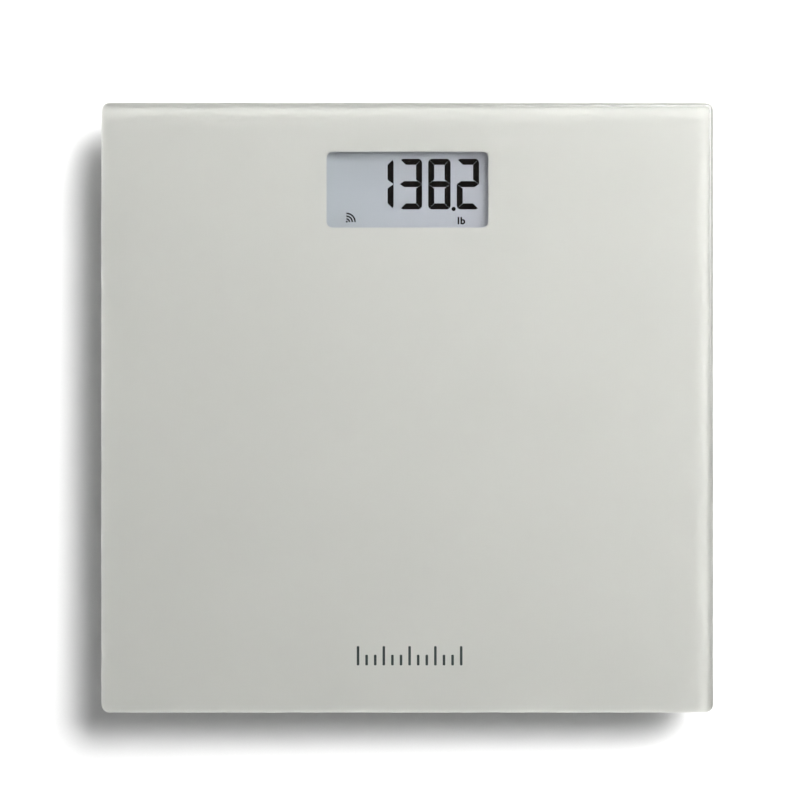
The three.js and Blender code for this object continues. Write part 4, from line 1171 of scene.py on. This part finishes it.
# Epoxy glob: black, glossy where it levelled itself, dull where dust met it.
resin = textured("black_epoxy_resin", "#101010", spread=0.2, patch=1.5 * MM, grain=1 * MM,
                 depth=0.03 * MM, Roughness=0.25)
painted(resin, "controller_blob")
painted(nickel_plate("tinned_shield_can", ("#BDBDB9", "#CDCDC9"), 0.25), "radio_module")
painted(zinc, *[f"board_screw_{corner}" for corner in CORNERS])


# ---------------------------------------------------------------------------
# Batteries: four AAA cells side by side, turned end for end. Each is a steel can in a
# plain printed sleeve, with a crimped end and a raised positive cap.
CELL_NUB_RADIUS = 1.9 * MM
CELL_NUB = 0.8 * MM
CELL_SHOULDER = 0.35 * MM
CELL_BAND = 0.3  # part of the length at the positive end that has the second colour
CAN_ROUND = 0.3 * MM
NEGATIVE_CRIMP = (0.7 * MM, 0.9 * MM)  # where the crimps slope, in from the can's side
POSITIVE_CRIMP = (1 * MM, 1.2 * MM)
NUB_ROOT = 0.2 * MM
NUB_ROUND = 0.15 * MM
SLEEVE_FLECK = 0.8 * MM


def battery_sleeve(low, high, positive):
    # Printed shrink film: glossy slate grey with a pale band at the positive end.
    material = new_material("printed_shrink_sleeve_" + ("far" if positive > 0 else "near"))
    place = add_node(material, "ShaderNodeSeparateXYZ", Vector=place_of(material))
    band_length = CELL_BAND * (high.y - low.y)
    split = high.y - band_length if positive > 0 else low.y + band_length
    band = add_node(material, "ShaderNodeMath",
                    {"operation": "GREATER_THAN" if positive > 0 else "LESS_THAN", 1: split},
                    _0=place.outputs["Y"])
    fleck = add_node(material, "ShaderNodeTexNoise", {"Scale": per_size(SLEEVE_FLECK), "Detail": 1.0},
                     Vector=place_of(material))
    pale = add_node(material, "ShaderNodeMix",
                    {"data_type": "RGBA", 6: linear("#D2D5D4"), 7: linear("#DFE1E0")},
                    Factor=fleck.outputs["Fac"])
    colour = add_node(material, "ShaderNodeMix", {"data_type": "RGBA", 6: linear("#5B6A72")},
                      Factor=band.outputs[0], _7=pale.outputs[2])
    shader = add_node(material, "ShaderNodeBsdfPrincipled", {"Roughness": 0.28},
                      Base_Color=colour.outputs[2])
    return surface(material, shader)


cell_low, cell_high = cells[0]
cell_radius = radius_of("battery_cell_1")
cell_length = cell_high.y - cell_low.y
shoulder = cell_length - CELL_NUB
cell_profile = [(0, CELL_SHOULDER), (cell_radius - NEGATIVE_CRIMP[1], CELL_SHOULDER),
                (cell_radius - NEGATIVE_CRIMP[0], 0), (cell_radius - CAN_ROUND, 0),
                (cell_radius, CAN_ROUND), (cell_radius, shoulder - CAN_ROUND),
                (cell_radius - CAN_ROUND, shoulder), (cell_radius - POSITIVE_CRIMP[0], shoulder),
                (cell_radius - POSITIVE_CRIMP[1], shoulder - CELL_SHOULDER),
                (CELL_NUB_RADIUS + NUB_ROOT, shoulder - CELL_SHOULDER), (CELL_NUB_RADIUS, shoulder),
                (CELL_NUB_RADIUS, cell_length - NUB_ROUND), (CELL_NUB_RADIUS - NUB_ROOT, cell_length),
                (0, cell_length)]
cell_master = finished(turned("cell_master", cell_profile))
for number, (low, high) in enumerate(cells, 1):
    positive = 1 if number % 2 else -1
    cell = copied(cell_master, f"aaa_cell_{number}", (0, 0, 0))
    cell.rotation_euler.x = -positive * math.pi / 2
    cell.location = ((low.x + high.x) / 2, low.y if positive > 0 else high.y, cell_axis)
    bpy.ops.object.transform_apply(location=True, rotation=True)
    fitted(finished(cell), battery_sleeve(low, high, positive), "scale_body", "battery_jacket",
           f"battery_cell_{number}")
bpy.data.objects.remove(cell_master)

# Contacts: nickel-plated spring wire and strip, pushed into the walls of the bay.
painted(nickel_plate("nickel_plated_contact_strip", ("#C2BFB6", "#D2CFC7"), 0.22),
        "battery_contact_far_left", "battery_contact_far_right", "battery_contact_near_left",
        "battery_contact_near_middle", "battery_contact_near_right")


# ---------------------------------------------------------------------------
# Battery leads: one red and one black, from the outer contacts to the board.
painted(pvc_sheath("red_pvc_sheath", "#B3221E"), "battery_lead_left")
painted(pvc_sheath("black_pvc_sheath", "#1A1A1B"), "battery_lead_right")


# ---------------------------------------------------------------------------
# Studio: a white paper floor, a softbox to the far right that lights the scale, four with
# narrow beams for the floor further out, and a room with white walls and a dark ceiling.
FLOOR_SIZE = 8
PAPER_FIBRE = 0.8 * MM
KEY_PLACE = (0.74, 0.72, 1.0)
KEY_SIZE = 1.2
KEY_POWER = 64
WASH_DISTANCE = 2.7
WASH_HEIGHT = 2
WASH_SIZE = 2.6
WASH_POWER = 45
WASH_SPREAD = 50
ROOM_HORIZON = 0.55
ROOM_ZENITH = 0.03

deselect()
bpy.ops.mesh.primitive_plane_add(size=FLOOR_SIZE)
floor = bpy.context.object
floor.name = "floor"
paper = new_material("white_paper_roll")
fibre = add_node(paper, "ShaderNodeTexNoise", {"Scale": per_size(PAPER_FIBRE), "Detail": 2.0},
                 Vector=place_of(paper))
white = add_node(paper, "ShaderNodeMapRange", {"To Min": 0.88, "To Max": 0.92},
                 Value=fibre.outputs["Fac"])
surface(paper, add_node(paper, "ShaderNodeBsdfPrincipled",
                        {"Roughness": 0.95, "Specular IOR Level": 0.2},
                        Base_Color=white.outputs[0]))
floor.data.materials.append(paper)


def softbox(name, place, target, size, power, spread=180):
    light = bpy.data.lights.new(name, "AREA")
    light.shape = "SQUARE"
    light.size = size
    light.energy = power
    light.spread = math.radians(spread)
    lamp = bpy.data.objects.new(name, light)
    lamp.location = place
    lamp.rotation_mode = "QUATERNION"
    lamp.rotation_quaternion = (Vector(target) - Vector(place)).to_track_quat("-Z", "Y")
    bpy.context.scene.collection.objects.link(lamp)


softbox("key_softbox", KEY_PLACE, (0, 0, 0), KEY_SIZE, KEY_POWER)
# These point straight down beside the scale, so that the floor is white further out too.
for index in range(4):
    turn = math.radians(90 * index)
    wash_x, wash_y = WASH_DISTANCE * math.cos(turn), WASH_DISTANCE * math.sin(turn)
    softbox(f"floor_wash_{index}", (wash_x, wash_y, WASH_HEIGHT), (wash_x, wash_y, 0),
            WASH_SIZE, WASH_POWER, WASH_SPREAD)

# White walls low down and a dark ceiling, so that the glass mirrors no light straight up.
world = bpy.data.worlds.new("room")
world.use_nodes = True
world.node_tree.nodes.clear()
direction = add_node(world, "ShaderNodeTexCoord")
upward = add_node(world, "ShaderNodeSeparateXYZ", Vector=direction.outputs["Generated"])
strength = add_node(world, "ShaderNodeMapRange",
                    {"interpolation_type": "SMOOTHSTEP", "From Min": 0.35, "From Max": 0.95,
                     "To Min": ROOM_HORIZON, "To Max": ROOM_ZENITH}, Value=upward.outputs["Z"])
room = add_node(world, "ShaderNodeBackground", Strength=strength.outputs[0])
add_node(world, "ShaderNodeOutputWorld", Surface=room.outputs[0])
bpy.context.scene.world = world
bpy.context.scene.view_settings.view_transform = "Standard"
